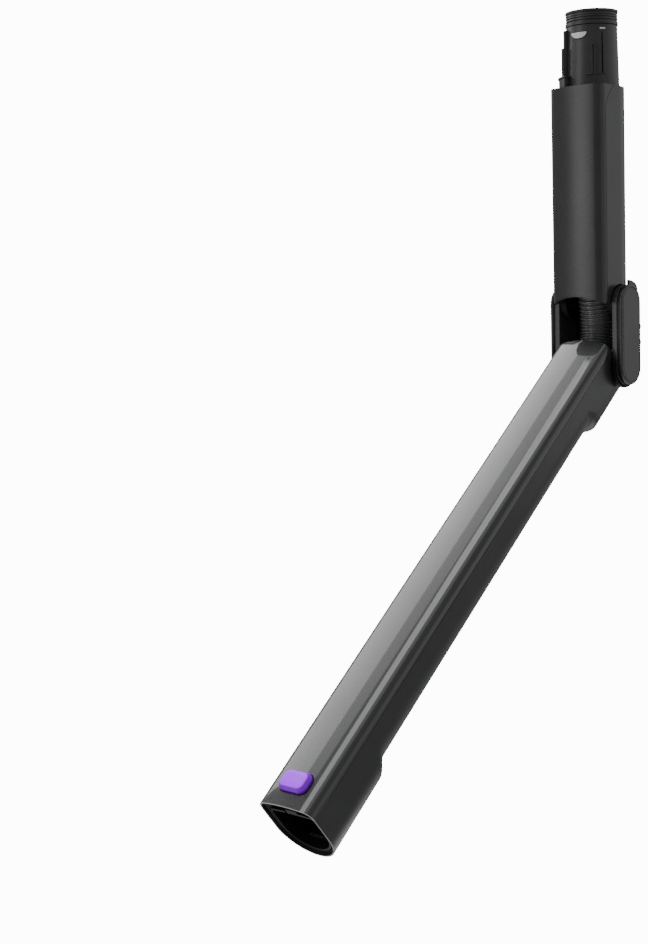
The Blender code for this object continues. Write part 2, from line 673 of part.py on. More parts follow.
def hose_route(share):
    """A point on the hose's centre line and its direction, for a share from 0 at the top to 1."""
    start = Vector((0, 0, -UPPER_DUCT_DROP - GAP))
    end = LOWER_FRAME @ Vector((0, LOWER_DUCT_SHIFT, -LOWER_DUCT_START + GAP))
    down = Vector((0, 0, -1))
    along = LOWER_FRAME.to_3x3() @ down
    reach = (end - start).length
    pull = reach * HOSE_PULL

    def place(at):
        square, cube = at * at, at * at * at
        point = start * (2 * cube - 3 * square + 1) + end * (3 * square - 2 * cube)
        point += down * pull * (cube - 2 * square + at) + along * pull * (cube - square)
        return point + Vector((0, HOSE_BOW * math.sin(math.pi * at), 0))

    step = 0.001
    low, high = max(0.0, share - step), min(1.0, share + step)
    return place(share), (place(high) - place(low)).normalized()


def make_hose():
    """The flexible duct in two lengths, so that each one bends about one pivot only."""
    lengths = (("hose_upper", 0.0, HOSE_SPLIT - HOSE_SPLIT_GAP, 5),
               ("hose_lower", HOSE_SPLIT + HOSE_SPLIT_GAP, 1.0, 9))
    for name, first, last, steps in lengths:
        shape = bmesh.new()
        loops = []
        for radius, order in ((HOSE_RADIUS, 1), (HOSE_RADIUS - HOSE_WALL, -1)):
            numbers = range(steps + 1)[::order]
            for number in numbers:
                centre, direction = hose_route(first + (last - first) * number / steps)
                across = Vector((1, 0, 0))
                behind = direction.cross(across)
                ring = []
                for x, y in round_outline(radius, steps=24):
                    ring.append(shape.verts.new(centre + across * x + behind * y))
                loops.append(ring)
        skin_rings(shape, loops + loops[:1], cap=False)
        add_object(name, shape, "hose_rubber", pivot=UPPER_PIVOT)
    cuff_inner = DUCT_RADIUS + GAP
    top = UPPER_DUCT_DROP - BULKHEAD_LIFT + BULKHEAD_THICKNESS + CUFF_SETBACK
    cuff = [(cuff_inner, top), (cuff_inner + CUFF_WALL, top)]
    cuff += [(cuff_inner + CUFF_WALL, UPPER_DUCT_DROP - GAP), (cuff_inner, UPPER_DUCT_DROP - GAP)]
    add_object("upper_hose_cuff", revolved(cuff), "seal_rubber")
    top = LOWER_DUCT_START + GAP
    cuff = [(cuff_inner, top), (cuff_inner + CUFF_WALL, top), (cuff_inner + CUFF_WALL, top + CUFF_LENGTH)]
    cuff.append((cuff_inner, top + CUFF_LENGTH))
    shape = revolved(cuff, centre=(0.0, LOWER_DUCT_SHIFT))
    add_object("lower_hose_cuff", shape, "seal_rubber", LOWER_FRAME)


# --- lower wand -------------------------------------------------------------------------------------
def lower_edge(x, y):
    """Upper edge of the lower tube: arched at the front and notched round the hubs."""
    if y < -HUB_REACH:
        return LOWER_ARCH * (x / HALF_WIDTH) ** 2 + GAP
    return hub_arc_rise(y) + GAP


def make_lower_wand():
    slim_start = LEVER_HOUSING_END + LEVER_HOUSING_FADE
    stations = [0.0, EDGE_ROOM] + evenly(LEVER_HOUSING_END, slim_start, 4)
    stations += evenly(slim_start, COLLAR_START, 4)[1:]
    stations += evenly(COLLAR_START, COLLAR_START + COLLAR_FADE, 4)[1:]
    stations.append(LOWER_LENGTH)
    rear_shape = wall_panel(lambda along, inset: rear_run(inset, lower_back_shift(along)), stations,
                            (lower_edge, None))
    rear = add_object("lower_rear_shell", rear_shape, "shell_satin", LOWER_FRAME)
    long_stations = [0.0] + evenly(EDGE_ROOM, LOWER_LENGTH, 5)
    front_shape = wall_panel(lambda along, inset: front_run(inset), long_stations, (lower_edge, None))
    front = add_object("lower_front_cover", front_shape, "front_metallic", LOWER_FRAME)

    lever_half = LEVER_WIDTH / 2 + LEVER_GAP
    lever_cut = block((-lever_half, lever_half), (HALF_WIDTH - CUT_IN, HALF_WIDTH + CUT_OUT),
                      (LEVER_START - LEVER_GAP, LEVER_START + LEVER_LENGTH + FINGER_HOLE))
    cut_away(rear, "lever_opening", lever_cut, LOWER_FRAME)
    button_cut = rounded_box(BUTTON_WIDTH + 2 * BUTTON_GAP, BUTTON_LENGTH + 2 * BUTTON_GAP,
                             BUTTON_CORNER + BUTTON_GAP, -FRONT_DEPTH - CUT_OUT,
                             -FRONT_DEPTH + CUT_IN, BUTTON_ALONG)
    cut_away(front, "button_opening", button_cut, LOWER_FRAME)

    duct = [(DUCT_RADIUS, LOWER_DUCT_START), (DUCT_RADIUS, LOWER_DUCT_END)]
    duct += [(DUCT_RADIUS - DUCT_WALL, LOWER_DUCT_END), (DUCT_RADIUS - DUCT_WALL, LOWER_DUCT_START)]
    add_object("lower_duct", revolved(duct, centre=(0.0, LOWER_DUCT_SHIFT)), "inner_black", LOWER_FRAME)
    for side, sign in (("left", -1), ("right", 1)):
        make_hub(f"lower_hub_{side}", sign, LOWER_PIVOT, LOWER_FRAME)
    make_fold_lever()
    make_release_button()
    make_socket()


def make_fold_lever():
    """The rocker in the back of the lower wand, its pin and the bolt that it draws."""
    shape = bmesh.new()
    rings = []
    half = LEVER_WIDTH / 2
    steps = 8
    start, end = LEVER_START, LEVER_START + LEVER_LENGTH
    for number in range(steps + 1):
        x = half * (2 * number / steps - 1)
        surface = LEVER_BACK_SHIFT + math.sqrt(HALF_WIDTH ** 2 - x * x)
        ring = []
        corners = ((LEVER_THICKNESS, start), (LEVER_SINK, start), (LEVER_SINK, end), (LEVER_THICKNESS, end))
        for depth, along in corners:
            ring.append(shape.verts.new((x, surface - depth, -along)))
        rings.append(ring)
    skin_rings(shape, rings, cap=True)
    seat = LEVER_BACK_SHIFT + math.sqrt(HALF_WIDTH ** 2 - half ** 2) - LEVER_THICKNESS - GAP
    pin_place = Vector((0, seat - LEVER_PIN_RADIUS, -LEVER_START - LEVER_PIN_RADIUS))
    add_object("fold_lever", shape, "joint_plastic", LOWER_FRAME, pin_place)
    pin = disc_along_x(LEVER_PIN_RADIUS, -half, half, pin_place.y, pin_place.z, 12)
    add_object("lever_pin", pin, "steel", LOWER_FRAME)
    bolt_back = LEVER_BACK_SHIFT + HALF_WIDTH - SHELL_WALL - GAP
    bolt = block((-BOLT_WIDTH / 2, BOLT_WIDTH / 2), (bolt_back - BOLT_DEPTH, bolt_back),
                 (-BOLT_REACH, LEVER_START - LEVER_GAP - BOLT_TRAVEL))
    add_object("lock_bolt", bolt, "steel", LOWER_FRAME)


def make_release_button():
    front = -FRONT_DEPTH - BUTTON_PROUD
    button = rounded_box(BUTTON_WIDTH, BUTTON_LENGTH, BUTTON_CORNER,
                         front, front + BUTTON_THICKNESS, BUTTON_ALONG)
    item = add_object("release_button", button, "button_violet", LOWER_FRAME, (0, front, -BUTTON_ALONG))
    bevel = item.modifiers.new("soft_edge", "BEVEL")
    bevel.width = BUTTON_EDGE
    bevel.segments = 2
    bevel.limit_method = "ANGLE"
    bevel.angle_limit = math.radians(50)

    spring_start = front + BUTTON_THICKNESS + GAP + SPRING_WIRE
    spring_end = -FRONT_DEPTH + LINER_FRONT_INSET - GAP - SPRING_WIRE
    turn_steps = 12
    total = SPRING_TURNS * turn_steps
    shape = bmesh.new()
    rings = []
    for number in range(total + 1):
        angle = 2 * math.pi * number / turn_steps
        y = spring_start + (spring_end - spring_start) * number / total
        outward = Vector((math.cos(angle), 0, math.sin(angle)))
        ring = []
        for dr, dy in round_outline(SPRING_WIRE, steps=6):
            spot = outward * (SPRING_RADIUS + dr) + Vector((0, y + dy, -BUTTON_ALONG))
            ring.append(shape.verts.new(spot))
        rings.append(ring)
    skin_rings(shape, rings, cap=True)
    add_object("button_spring", shape, "steel", LOWER_FRAME)


def liner_outline(extra):
    """The socket's section: extra is how much smaller it is than the liner's outside."""
    return closed_outline(LINER_SIDE_INSET + extra, COLLAR_BACK_SHIFT, LINER_FRONT_INSET + extra)


def make_socket():
    """The liner that takes the floor head's neck, its rim, the latch pawl and the contacts."""
    rim_start = LOWER_LENGTH - RIM_THICKNESS
    liner_shape = outline_tube(liner_outline(0.0), liner_outline(LINER_WALL), LINER_START, rim_start - GAP)
    liner = add_object("socket_liner", liner_shape, "inner_black", LOWER_FRAME)
    rim_outer = closed_outline(SHELL_WALL + GAP, COLLAR_BACK_SHIFT)
    add_object("socket_rim", outline_tube(rim_outer, liner_outline(LINER_WALL), rim_start, LOWER_LENGTH),
               "inner_black", LOWER_FRAME)

    liner_front = -FRONT_DEPTH + LINER_FRONT_INSET
    pawl_end = rim_start - GAP - PAWL_RIM_GAP
    pawl_front = liner_front - PAWL_ROOT
    pawl = block((-PAWL_WIDTH / 2, PAWL_WIDTH / 2), (pawl_front, pawl_front + PAWL_HEIGHT),
                 (pawl_end - PAWL_LENGTH, pawl_end))
    add_object("latch_pawl", pawl, "button_violet", LOWER_FRAME)
    slot_half = PAWL_WIDTH / 2 + PAWL_GAP
    slot = block((-slot_half, slot_half), (liner_front - SLOT_DEPTH, liner_front + SLOT_DEPTH),
                 (pawl_end - PAWL_LENGTH - PAWL_GAP, rim_start + SLOT_OVERRUN))
    cut_away(liner, "pawl_slot", slot, LOWER_FRAME)

    back = COLLAR_BACK_SHIFT + HALF_WIDTH - LINER_SIDE_INSET - LINER_WALL
    half = CONTACT_WIDTH / 2
    shelf = back - half * half / TUBE_WIDTH - CONTACT_SEAT
    start = rim_start - CONTACT_SETBACK - CONTACT_LENGTH
    contact = block((-half, half), (shelf - CONTACT_HEIGHT, shelf), (start, start + CONTACT_LENGTH))
    add_object("contact_block", contact, "inner_black", LOWER_FRAME)
    for number in range(3):
        x = (number - 1) * CONTACT_PITCH
        root = start + CONTACT_LENGTH + GAP
        pin = outline_prism(round_outline(CONTACT_RADIUS, (x, shelf - CONTACT_HEIGHT / 2), 12),
                            root, root + CONTACT_PIN_LENGTH)
        add_object(f"contact_pin_{number + 1}", pin, "steel", LOWER_FRAME)


def build():
    clear_scene()
    make_upper_wand()
    make_neck()
    make_links()
    make_hose()
    make_lower_wand()


build()
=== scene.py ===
"""Looks of the folding vacuum wand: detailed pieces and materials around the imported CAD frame.

Everything is in metres in the CAD's own frame: +Z up along the upper wand, -Y the front. Pieces of the
lower wand are drawn in its own axes, where y points to its back and "along" runs down from the pivot.
"""
import json
import math

import bmesh
import bpy
from mathutils import Matrix, Vector


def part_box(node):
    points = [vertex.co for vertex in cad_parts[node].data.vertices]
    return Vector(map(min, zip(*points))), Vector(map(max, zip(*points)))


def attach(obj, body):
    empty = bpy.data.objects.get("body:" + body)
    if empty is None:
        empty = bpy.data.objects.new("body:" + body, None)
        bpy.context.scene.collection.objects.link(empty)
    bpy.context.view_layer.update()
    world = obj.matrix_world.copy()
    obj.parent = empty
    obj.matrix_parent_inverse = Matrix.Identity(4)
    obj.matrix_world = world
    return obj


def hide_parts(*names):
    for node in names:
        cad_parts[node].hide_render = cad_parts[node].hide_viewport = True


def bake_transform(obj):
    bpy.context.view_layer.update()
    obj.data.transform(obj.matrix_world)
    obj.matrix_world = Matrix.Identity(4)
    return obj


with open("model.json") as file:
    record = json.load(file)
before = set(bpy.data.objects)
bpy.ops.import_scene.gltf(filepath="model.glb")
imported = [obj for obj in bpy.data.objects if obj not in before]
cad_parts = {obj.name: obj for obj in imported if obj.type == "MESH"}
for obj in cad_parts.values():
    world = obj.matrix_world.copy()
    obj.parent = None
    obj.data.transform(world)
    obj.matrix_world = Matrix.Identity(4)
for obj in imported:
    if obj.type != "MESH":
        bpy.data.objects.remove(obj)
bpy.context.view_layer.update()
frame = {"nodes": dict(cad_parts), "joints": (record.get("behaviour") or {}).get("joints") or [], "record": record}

# --- sizes read from the frame --------------------------------------------------------------------
JOINTS = {joint["name"]: joint for joint in frame["joints"]}
UPPER_PIVOT = Vector(JOINTS["upper_fold"]["pos_m"])
LOWER_PIVOT = Vector(JOINTS["lower_fold"]["pos_m"])
SPACING = UPPER_PIVOT.z - LOWER_PIVOT.z
LOWER_BACK = Vector(JOINTS["button_press"]["axis"]).normalized()
LOWER_DOWN = Vector(JOINTS["bolt_slide"]["axis"]).normalized()
LOWER_FRAME = Matrix.Translation(LOWER_PIVOT) @ Matrix((
    (1, 0, 0, 0), (0, LOWER_BACK.y, -LOWER_DOWN.y, 0), (0, LOWER_BACK.z, -LOWER_DOWN.z, 0), (0, 0, 0, 1)))
UPPER_FRAME = Matrix.Identity(4)


def lower_box(node):
    """Lowest and highest corner of a lower-wand node in the lower wand's own axes."""
    inverse = LOWER_FRAME.inverted()
    spots = [inverse @ vertex.co for vertex in frame["nodes"][node].data.vertices]
    low = Vector([min(spot[axis] for spot in spots) for axis in range(3)])
    high = Vector([max(spot[axis] for spot in spots) for axis in range(3)])
    return low, high


COVER_LOW, COVER_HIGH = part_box("upper_front_cover")
HALF_WIDTH = COVER_HIGH.x
FRONT_DEPTH = -COVER_LOW.y
SHOULDER_DROP = -COVER_HIGH.z
SEAM_DEPTH = -COVER_HIGH.y
LOWER_LENGTH = -lower_box("lower_front_cover")[0].z
SEAL_LOW, SEAL_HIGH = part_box("neck_seal_ring")
CAP_LOW, CAP_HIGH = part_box("link_cap_right")
ARM_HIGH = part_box("link_arm_right")[1]
LINK_RADIUS = CAP_HIGH.y

# --- sizes that only the looks need ---------------------------------------------------------------
CORNER_RADIUS = 0.0075
CROWN_ANGLE = math.radians(10)                   # slope of the crowned front where it meets its corners
SHELL_WALL = 0.0020
PANEL_GAP = 0.0003
UPPER_BACK_SHIFT = 0.0010
MAIN_BACK_SHIFT = -0.0070
LEVER_BACK_SHIFT = 0.0010
COLLAR_BACK_SHIFT = 0.0020
HOUSING_END, HOUSING_FADE = 0.048, 0.010
COLLAR_START, COLLAR_FADE = 0.376, 0.012
UPPER_ARCH, LOWER_ARCH = 0.0060, 0.0030
HUB_NOTCH = 0.0138
SEAM_SWING, SEAM_SWING_LENGTH = 0.0120, 0.0200   # of the upper side seam to the back, under the shoulder
SEAM_END = 0.4320                                # along the lower wand, where the side seam stops
NECK_RADIUS, NECK_FLARE, NECK_BORE = 0.0194, 0.0014, 0.0160
NECK_GROOVE_ANGLE, RAIL_ANGLE = 56.0, 36.0       # degrees from the front
END_WALL = 0.0013                                # of the lower shells, seen edge-on at the mouth
# radius of the near-black disc painted as shade in the gap at the lower pivot
CHEEK_DISC_RADIUS = 0.0158
GUARD_CORNER, GUARD_ROUNDING = 0.0075, 0.0180
BUTTON_CORNER, BUTTON_ROOM, LEVER_ROOM = 0.0056, 0.0005, 0.0006
HOSE_RADIUS, HOSE_RIBS, HOSE_RIB_DEPTH, HOSE_WALL = 0.0145, 26, 0.0016, 0.0012
HOSE_SPLIT = 0.42                                # share of the hose that is in its upper length
HOSE_END = Vector((0, -0.0034, -0.0237))         # in the lower wand's axes
HOSE_SAG, HOSE_PULL = 0.0055, 1.25
CONTACT_RADIUS, CONTACT_PITCH = 0.0013, 0.0048
CORNER_STEPS, CROWN_STEPS, BACK_STEPS, LATHE_STEPS = 10, 16, 44, 96
ROOM_LIGHT, BACKDROP_LIGHT, FLOOR_GLOW = 0.33, 13.0, 0.7
FLOOR_RADIUS, FLOOR_LEVEL = 1.1, -1.3
WAND_MIDDLE = Vector((0, -0.15, -0.3))
CAMERA_PLACE, CAMERA_LENS = (0.69506, -1.0758, -0.22321), 61.553
CAMERA_AZIMUTH, CAMERA_ELEVATION, CAMERA_ROLL = 42.506, 5.613, -1.631


# --- materials ------------------------------------------------------------------------------------
def new_material(name):
    material = bpy.data.materials.new(name)
    material.use_nodes = True
    nodes = material.node_tree.nodes
    return material, nodes, material.node_tree.links, nodes["Principled BSDF"]


def mapped_noise(nodes, links, scale, detail=4.0, stretch=(1, 1, 1)):
    """Object-space noise, optionally stretched along an axis."""
    place = nodes.new("ShaderNodeTexCoord")
    mapping = nodes.new("ShaderNodeMapping")
    mapping.inputs["Scale"].default_value = stretch
    noise = nodes.new("ShaderNodeTexNoise")
    noise.inputs["Scale"].default_value = scale
    noise.inputs["Detail"].default_value = detail
    links.new(place.outputs["Object"], mapping.inputs["Vector"])
    links.new(mapping.outputs["Vector"], noise.inputs["Vector"])
    return noise


def spread(nodes, links, source, low, high, start=0.3, end=0.7):
    """Map a texture's value to a range."""
    remap = nodes.new("ShaderNodeMapRange")
    remap.inputs["From Min"].default_value = start
    remap.inputs["From Max"].default_value = end
    remap.inputs["To Min"].default_value = low
    remap.inputs["To Max"].default_value = high
    links.new(source, remap.inputs["Value"])
    return remap.outputs["Result"]


def add_bump(nodes, links, shader, source, strength, distance):
    bump = nodes.new("ShaderNodeBump")
    bump.inputs["Strength"].default_value = strength
    bump.inputs["Distance"].default_value = distance
    links.new(source, bump.inputs["Height"])
    links.new(bump.outputs["Normal"], shader.inputs["Normal"])


def tinted(nodes, links, source, dark, light):
    ramp = nodes.new("ShaderNodeValToRGB")
    ramp.color_ramp.elements[0].position = 0.35
    ramp.color_ramp.elements[0].color = (*dark, 1)
    ramp.color_ramp.elements[1].position = 0.65
    ramp.color_ramp.elements[1].color = (*light, 1)
    links.new(source, ramp.inputs["Fac"])
    return ramp.outputs["Color"]


def moulded_plastic(name, dark, light, roughness, grain, bump, coat=0.0, gloss=0.5):
    """Moulded plastic: faint colour mottling, uneven gloss and a fine spark-eroded grain."""
    material, nodes, links, shader = new_material(name)
    mottle = mapped_noise(nodes, links, 60.0)
    links.new(tinted(nodes, links, mottle.outputs["Fac"], dark, light), shader.inputs["Base Color"])
    smear = mapped_noise(nodes, links, 25.0, stretch=(1, 1, 0.3))
    rough = spread(nodes, links, smear.outputs["Fac"], roughness - 0.04, roughness + 0.04)
    links.new(rough, shader.inputs["Roughness"])
    fine = mapped_noise(nodes, links, grain, 2.0)
    add_bump(nodes, links, shader, fine.outputs["Fac"], bump, 0.0001)
    shader.inputs["Coat Weight"].default_value = coat
    shader.inputs["Coat Roughness"].default_value = 0.12
    shader.inputs["Specular IOR Level"].default_value = gloss
    return material


def flake_paint(name):
    """Glossy graphite paint: metal flakes as tiny cells of differing brightness under a clear coat."""
    material, nodes, links, shader = new_material(name)
    place = nodes.new("ShaderNodeTexCoord")
    flakes = nodes.new("ShaderNodeTexVoronoi")
    flakes.inputs["Scale"].default_value = 3800.0
    links.new(place.outputs["Object"], flakes.inputs["Vector"])
    grey = nodes.new("ShaderNodeSeparateColor")
    links.new(flakes.outputs["Color"], grey.inputs["Color"])
    colour = tinted(nodes, links, grey.outputs["Red"], (0.022, 0.022, 0.024), (0.034, 0.035, 0.037))
    links.new(colour, shader.inputs["Base Color"])
    wear = mapped_noise(nodes, links, 30.0)
    links.new(spread(nodes, links, wear.outputs["Fac"], 0.34, 0.40), shader.inputs["Roughness"])
    orange_peel = mapped_noise(nodes, links, 420.0, 1.0)
    add_bump(nodes, links, shader, orange_peel.outputs["Fac"], 0.02, 0.0001)
    shader.inputs["Specular IOR Level"].default_value = 0.2
    shader.inputs["Coat Weight"].default_value = 1.0
    shader.inputs["Coat Roughness"].default_value = 0.04
    return material


def violet_plastic(name):
    """Glossy dyed plastic, with painted light: an emission makes the button's crowned top glow violet."""
    material, nodes, links, shader = new_material(name)
    mottle = mapped_noise(nodes, links, 90.0)
    colour = tinted(nodes, links, mottle.outputs["Fac"], (0.260, 0.004, 0.820), (0.290, 0.006, 0.880))
    links.new(colour, shader.inputs["Base Color"])
    fine = mapped_noise(nodes, links, 500.0, 1.0)
    links.new(spread(nodes, links, fine.outputs["Fac"], 0.16, 0.22), shader.inputs["Roughness"])
    add_bump(nodes, links, shader, fine.outputs["Fac"], 0.02, 0.0001)
    shader.inputs["Specular IOR Level"].default_value = 0.18
    # Painted glow: the button's crowned top emits violet light at full strength and the rest only faintly, though
    # the button is no lamp.
    place = nodes.new("ShaderNodeTexCoord")
    height = nodes.new("ShaderNodeVectorMath")
    height.operation = "DOT_PRODUCT"
    height.inputs[1].default_value = LOWER_BACK
    links.new(place.outputs["Object"], height.inputs[0])
    top = LOWER_PIVOT.dot(LOWER_BACK) + lower_box("release_button")[0].y
    painted_glow = spread(nodes, links, height.outputs["Value"], 1.0, 0.02, top - 0.0004, top + 0.0003)
    shader.inputs["Emission Color"].default_value = (0.42, 0.0, 1.0, 1.0)
    links.new(painted_glow, shader.inputs["Emission Strength"])
    return material


def turned_steel(name):
    material, nodes, links, shader = new_material(name)
    streaks = mapped_noise(nodes, links, 900.0, 3.0, (1, 1, 0.05))
    colour = tinted(nodes, links, streaks.outputs["Fac"], (0.46, 0.46, 0.48), (0.66, 0.66, 0.68))
    links.new(colour, shader.inputs["Base Color"])
    links.new(spread(nodes, links, streaks.outputs["Fac"], 0.24, 0.38), shader.inputs["Roughness"])
    shader.inputs["Metallic"].default_value = 1.0
    return material


MATERIALS = {
    "shell_satin": moulded_plastic(
        "shell_satin_look", (0.019, 0.019, 0.020), (0.023, 0.023, 0.024), 0.30, 2600, 0.10),
    "front_metallic": flake_paint("front_metallic_look"),
    "neck_plastic": moulded_plastic(
        "neck_plastic_look", (0.022, 0.022, 0.023), (0.027, 0.027, 0.028), 0.36, 2600, 0.14),
    "joint_plastic": moulded_plastic(
        "joint_plastic_look", (0.026, 0.026, 0.027), (0.031, 0.031, 0.032), 0.34, 2600, 0.12),
    # Near-black: the inner parts' own black, darkened below the black shells as painted shade, so the mouth, the
    # pockets and the gap at the pivots read as deep shade.
    "inner_black": moulded_plastic(
        "inner_black_shade_look", (0.003, 0.003, 0.003), (0.005, 0.005, 0.005), 0.55, 1800, 0.20, gloss=0.15),
    "hose_rubber": moulded_plastic(
        "hose_rubber_look", (0.075, 0.075, 0.076), (0.095, 0.095, 0.097), 0.28, 1500, 0.10, 0.6),
    "button_violet": violet_plastic("button_violet_look"),
    "seal_rubber": moulded_plastic(
        "seal_rubber_look", (0.020, 0.020, 0.021), (0.026, 0.026, 0.027), 0.38, 1500, 0.15),
    "steel": turned_steel("steel_look"),
    # Painted light: an opaque pale grey in place of the light seen in the clear window; the small highlights on
    # the neck use it too.
    "window_clear": moulded_plastic(
        "window_painted_light_look", (0.52, 0.53, 0.54), (0.60, 0.61, 0.62), 0.25, 1200, 0.05),
}


def repaint_cad():
    """Every CAD node that stays in view gets the looks of its record slot."""
    for entry in frame["record"]["subparts"]:
        for slot in frame["nodes"][entry["node"]].material_slots:
            slot.material = MATERIALS[entry["material_slot"]]


# --- mesh helpers ---------------------------------------------------------------------------------
def new_object(name, data):
    made = bpy.data.objects.new(name, data)
    bpy.context.scene.collection.objects.link(made)
    return made


def add_piece(name, shape, slot, body=None, replaced=(), place=UPPER_FRAME, bevel=0.0, angle=32):
    """Turn a bmesh into a smooth piece with eased edges, riding on a body and standing for CAD nodes."""
    bmesh.ops.remove_doubles(shape, verts=shape.verts, dist=1e-7)
    bmesh.ops.recalc_face_normals(shape, faces=shape.faces)
    mesh = bpy.data.meshes.new(name)
    shape.to_mesh(mesh)
    shape.free()
    mesh.transform(place)
    for polygon in mesh.polygons:
        polygon.use_smooth = True
    piece = new_object(name, mesh)
    mesh.materials.append(MATERIALS[slot])
    if bevel > 0:
        easing = piece.modifiers.new("eased_edges", "BEVEL")
        easing.width = bevel
        easing.segments = 3
        easing.limit_method = "ANGLE"
        easing.angle_limit = math.radians(angle)
    weighted = piece.modifiers.new("even_shading", "WEIGHTED_NORMAL")
    weighted.keep_sharp = True
    if replaced:
        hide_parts(*replaced)
    if body:
        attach(piece, body)
    return piece


def arc(centre, radius, start, end, steps):
    points = []
    for step in range(steps + 1):
        angle = math.radians(start + (end - start) * step / steps)
        points.append((centre[0] + radius * math.cos(angle), centre[1] + radius * math.sin(angle)))
    return points


def corners(reaches, drops):
    """The four (reach, drop) corners of a block, in order round it."""
    return ((reaches[0], drops[0]), (reaches[1], drops[0]), (reaches[1], drops[1]), (reaches[0], drops[1]))


def circle(radius, steps=64, centre=(0.0, 0.0)):
    return arc(centre, radius, 0, 360, steps)[:-1]


def skin(shape, rings, closed_ends):
    """Join rings of vertices into a skin, with flat ends if asked."""
    for lower, upper in zip(rings, rings[1:]):
        count = len(lower)
        for index in range(count):
            after = (index + 1) % count
            shape.faces.new((lower[index], lower[after], upper[after], upper[index]))
    if closed_ends:
        shape.faces.new(rings[0])
        shape.faces.new(list(reversed(rings[-1])))


def lathe(profile, steps):
    """A closed profile of (radius, drop) points turned about the wand's axis."""
    shape = bmesh.new()
    rings = []
    for radius, drop in profile:
        rings.append([shape.verts.new((x, y, -drop)) for x, y in circle(radius, steps)])
    skin(shape, rings + rings[:1], False)
    return shape


def front_run(inset, seam=None):
    """The section's front, from the left seam over the front face to the right seam."""
    radius = CORNER_RADIUS - inset
    corner_x = HALF_WIDTH - CORNER_RADIUS
    crown_x = corner_x + CORNER_RADIUS * math.sin(CROWN_ANGLE)
    crown_rise = crown_x * math.tan(CROWN_ANGLE) / 2
    corner_y = -FRONT_DEPTH + crown_rise + CORNER_RADIUS * math.cos(CROWN_ANGLE)
    left = arc((-corner_x, corner_y), radius, 180, 270 - math.degrees(CROWN_ANGLE), CORNER_STEPS)
    right = [(-x, y) for x, y in reversed(left)]
    crown = []
    for step in range(1, CROWN_STEPS):
        share = 2 * step / CROWN_STEPS - 1
        crown.append((share * right[0][0], right[0][1] - crown_rise * (1 - share * share)))
    side = HALF_WIDTH - inset
    if seam is None:
        return [(-side, -SEAM_DEPTH)] + left + crown + right + [(side, -SEAM_DEPTH)]
    sides = [(side, y) for y in evenly(right[-1][1], seam, 6)[1:]]
    return [(-x, y) for x, y in reversed(sides)] + left + crown + right + sides


def rear_run(inset, back_shift, seam=None):
    """The section's sides and back, from the right seam round to the left seam."""
    side = HALF_WIDTH - inset
    start_y = (-SEAM_DEPTH if seam is None else seam) + PANEL_GAP
    right = []
    for step in range(10):
        right.append((side, start_y + (back_shift - start_y) * step / 10))
    left = [(-x, y) for x, y in reversed(right)]
    return right + arc((0, back_shift), side, 0, 180, BACK_STEPS) + left


def whole_run(inset, back_shift, front_inset=None):
    """The whole section as one loop; front_inset sets the front's depth by itself."""
    drop = (front_inset if front_inset is not None else inset) - inset
    front = [(x, y + drop) for x, y in front_run(inset)[1:-1]]
    side = HALF_WIDTH - inset
    start_y = front[-1][1]
    right = [(side, start_y + (back_shift - start_y) * step / 5) for step in range(1, 5)]
    left = [(-x, y) for x, y in reversed(right)]
    return front + right + arc((0, back_shift), side, 0, 180, BACK_STEPS) + left


def smooth_share(value, start, length):
    share = min(1.0, max(0.0, (value - start) / length))
    return share * share * (3 - 2 * share)


def lower_back_shift(along):
    fade = smooth_share(along, HOUSING_END, HOUSING_FADE)
    shift = LEVER_BACK_SHIFT + (MAIN_BACK_SHIFT - LEVER_BACK_SHIFT) * fade
    return shift + (COLLAR_BACK_SHIFT - MAIN_BACK_SHIFT) * smooth_share(along, COLLAR_START, COLLAR_FADE)


def panel(section, stations, first_edge=None, last_edge=None, wall=SHELL_WALL):
    """A curved panel of even wall: section(along, inset) is an open run, drawn at each station."""
    shape = bmesh.new()
    rings = []
    for number, station in enumerate(stations):
        edge = first_edge if number == 0 else last_edge if number == len(stations) - 1 else None
        loops = []
        for inset in (0.0, wall):
            loop = []
            for x, y in section(station, inset):
                loop.append(shape.verts.new((x, y, -(edge(x, y) if edge else station))))
            loops.append(loop)
        rings.append(loops)
    count = len(rings[0][0])
    for first, second in zip(rings, rings[1:]):
        for index in range(count - 1):
            shape.faces.new((first[0][index], first[0][index + 1], second[0][index + 1], second[0][index]))
            shape.faces.new((first[1][index], second[1][index], second[1][index + 1], first[1][index + 1]))
        for index in (0, count - 1):
            shape.faces.new((first[0][index], second[0][index], second[1][index], first[1][index]))
    for outer, inner in (rings[0], rings[-1]):
        for index in range(count - 1):
            shape.faces.new((outer[index], outer[index + 1], inner[index + 1], inner[index]))
    return shape


def slab(outline, start, end):
    shape = bmesh.new()
    rings = [[shape.verts.new((x, y, -along)) for x, y in outline] for along in (start, end)]
    skin(shape, rings, True)
    return shape


def evenly(start, end, count):
    return [start + (end - start) * step / count for step in range(count + 1)]


# --- shells ---------------------------------------------------------------------------------------
def hub_rise(y):
    return math.sqrt(max(0.0, HUB_NOTCH * HUB_NOTCH - y * y))


def upper_edge(x, y):
    if y < -HUB_NOTCH:
        return -UPPER_PIVOT.z - UPPER_ARCH * (1 - (x / HALF_WIDTH) ** 2) - PANEL_GAP
    return -UPPER_PIVOT.z - hub_rise(y) - PANEL_GAP


def lower_edge(x, y):
    if y < -HUB_NOTCH:
        return LOWER_ARCH * (x / HALF_WIDTH) ** 2 + PANEL_GAP
    return hub_rise(y) + PANEL_GAP


def upper_seam(along):
    """Depth of the upper wand's side seam, which swings to the back just below the shoulder."""
    share = max(0.0, 1 - (along - SHOULDER_DROP) / SEAM_SWING_LENGTH)
    return -SEAM_DEPTH + SEAM_SWING * share ** 2


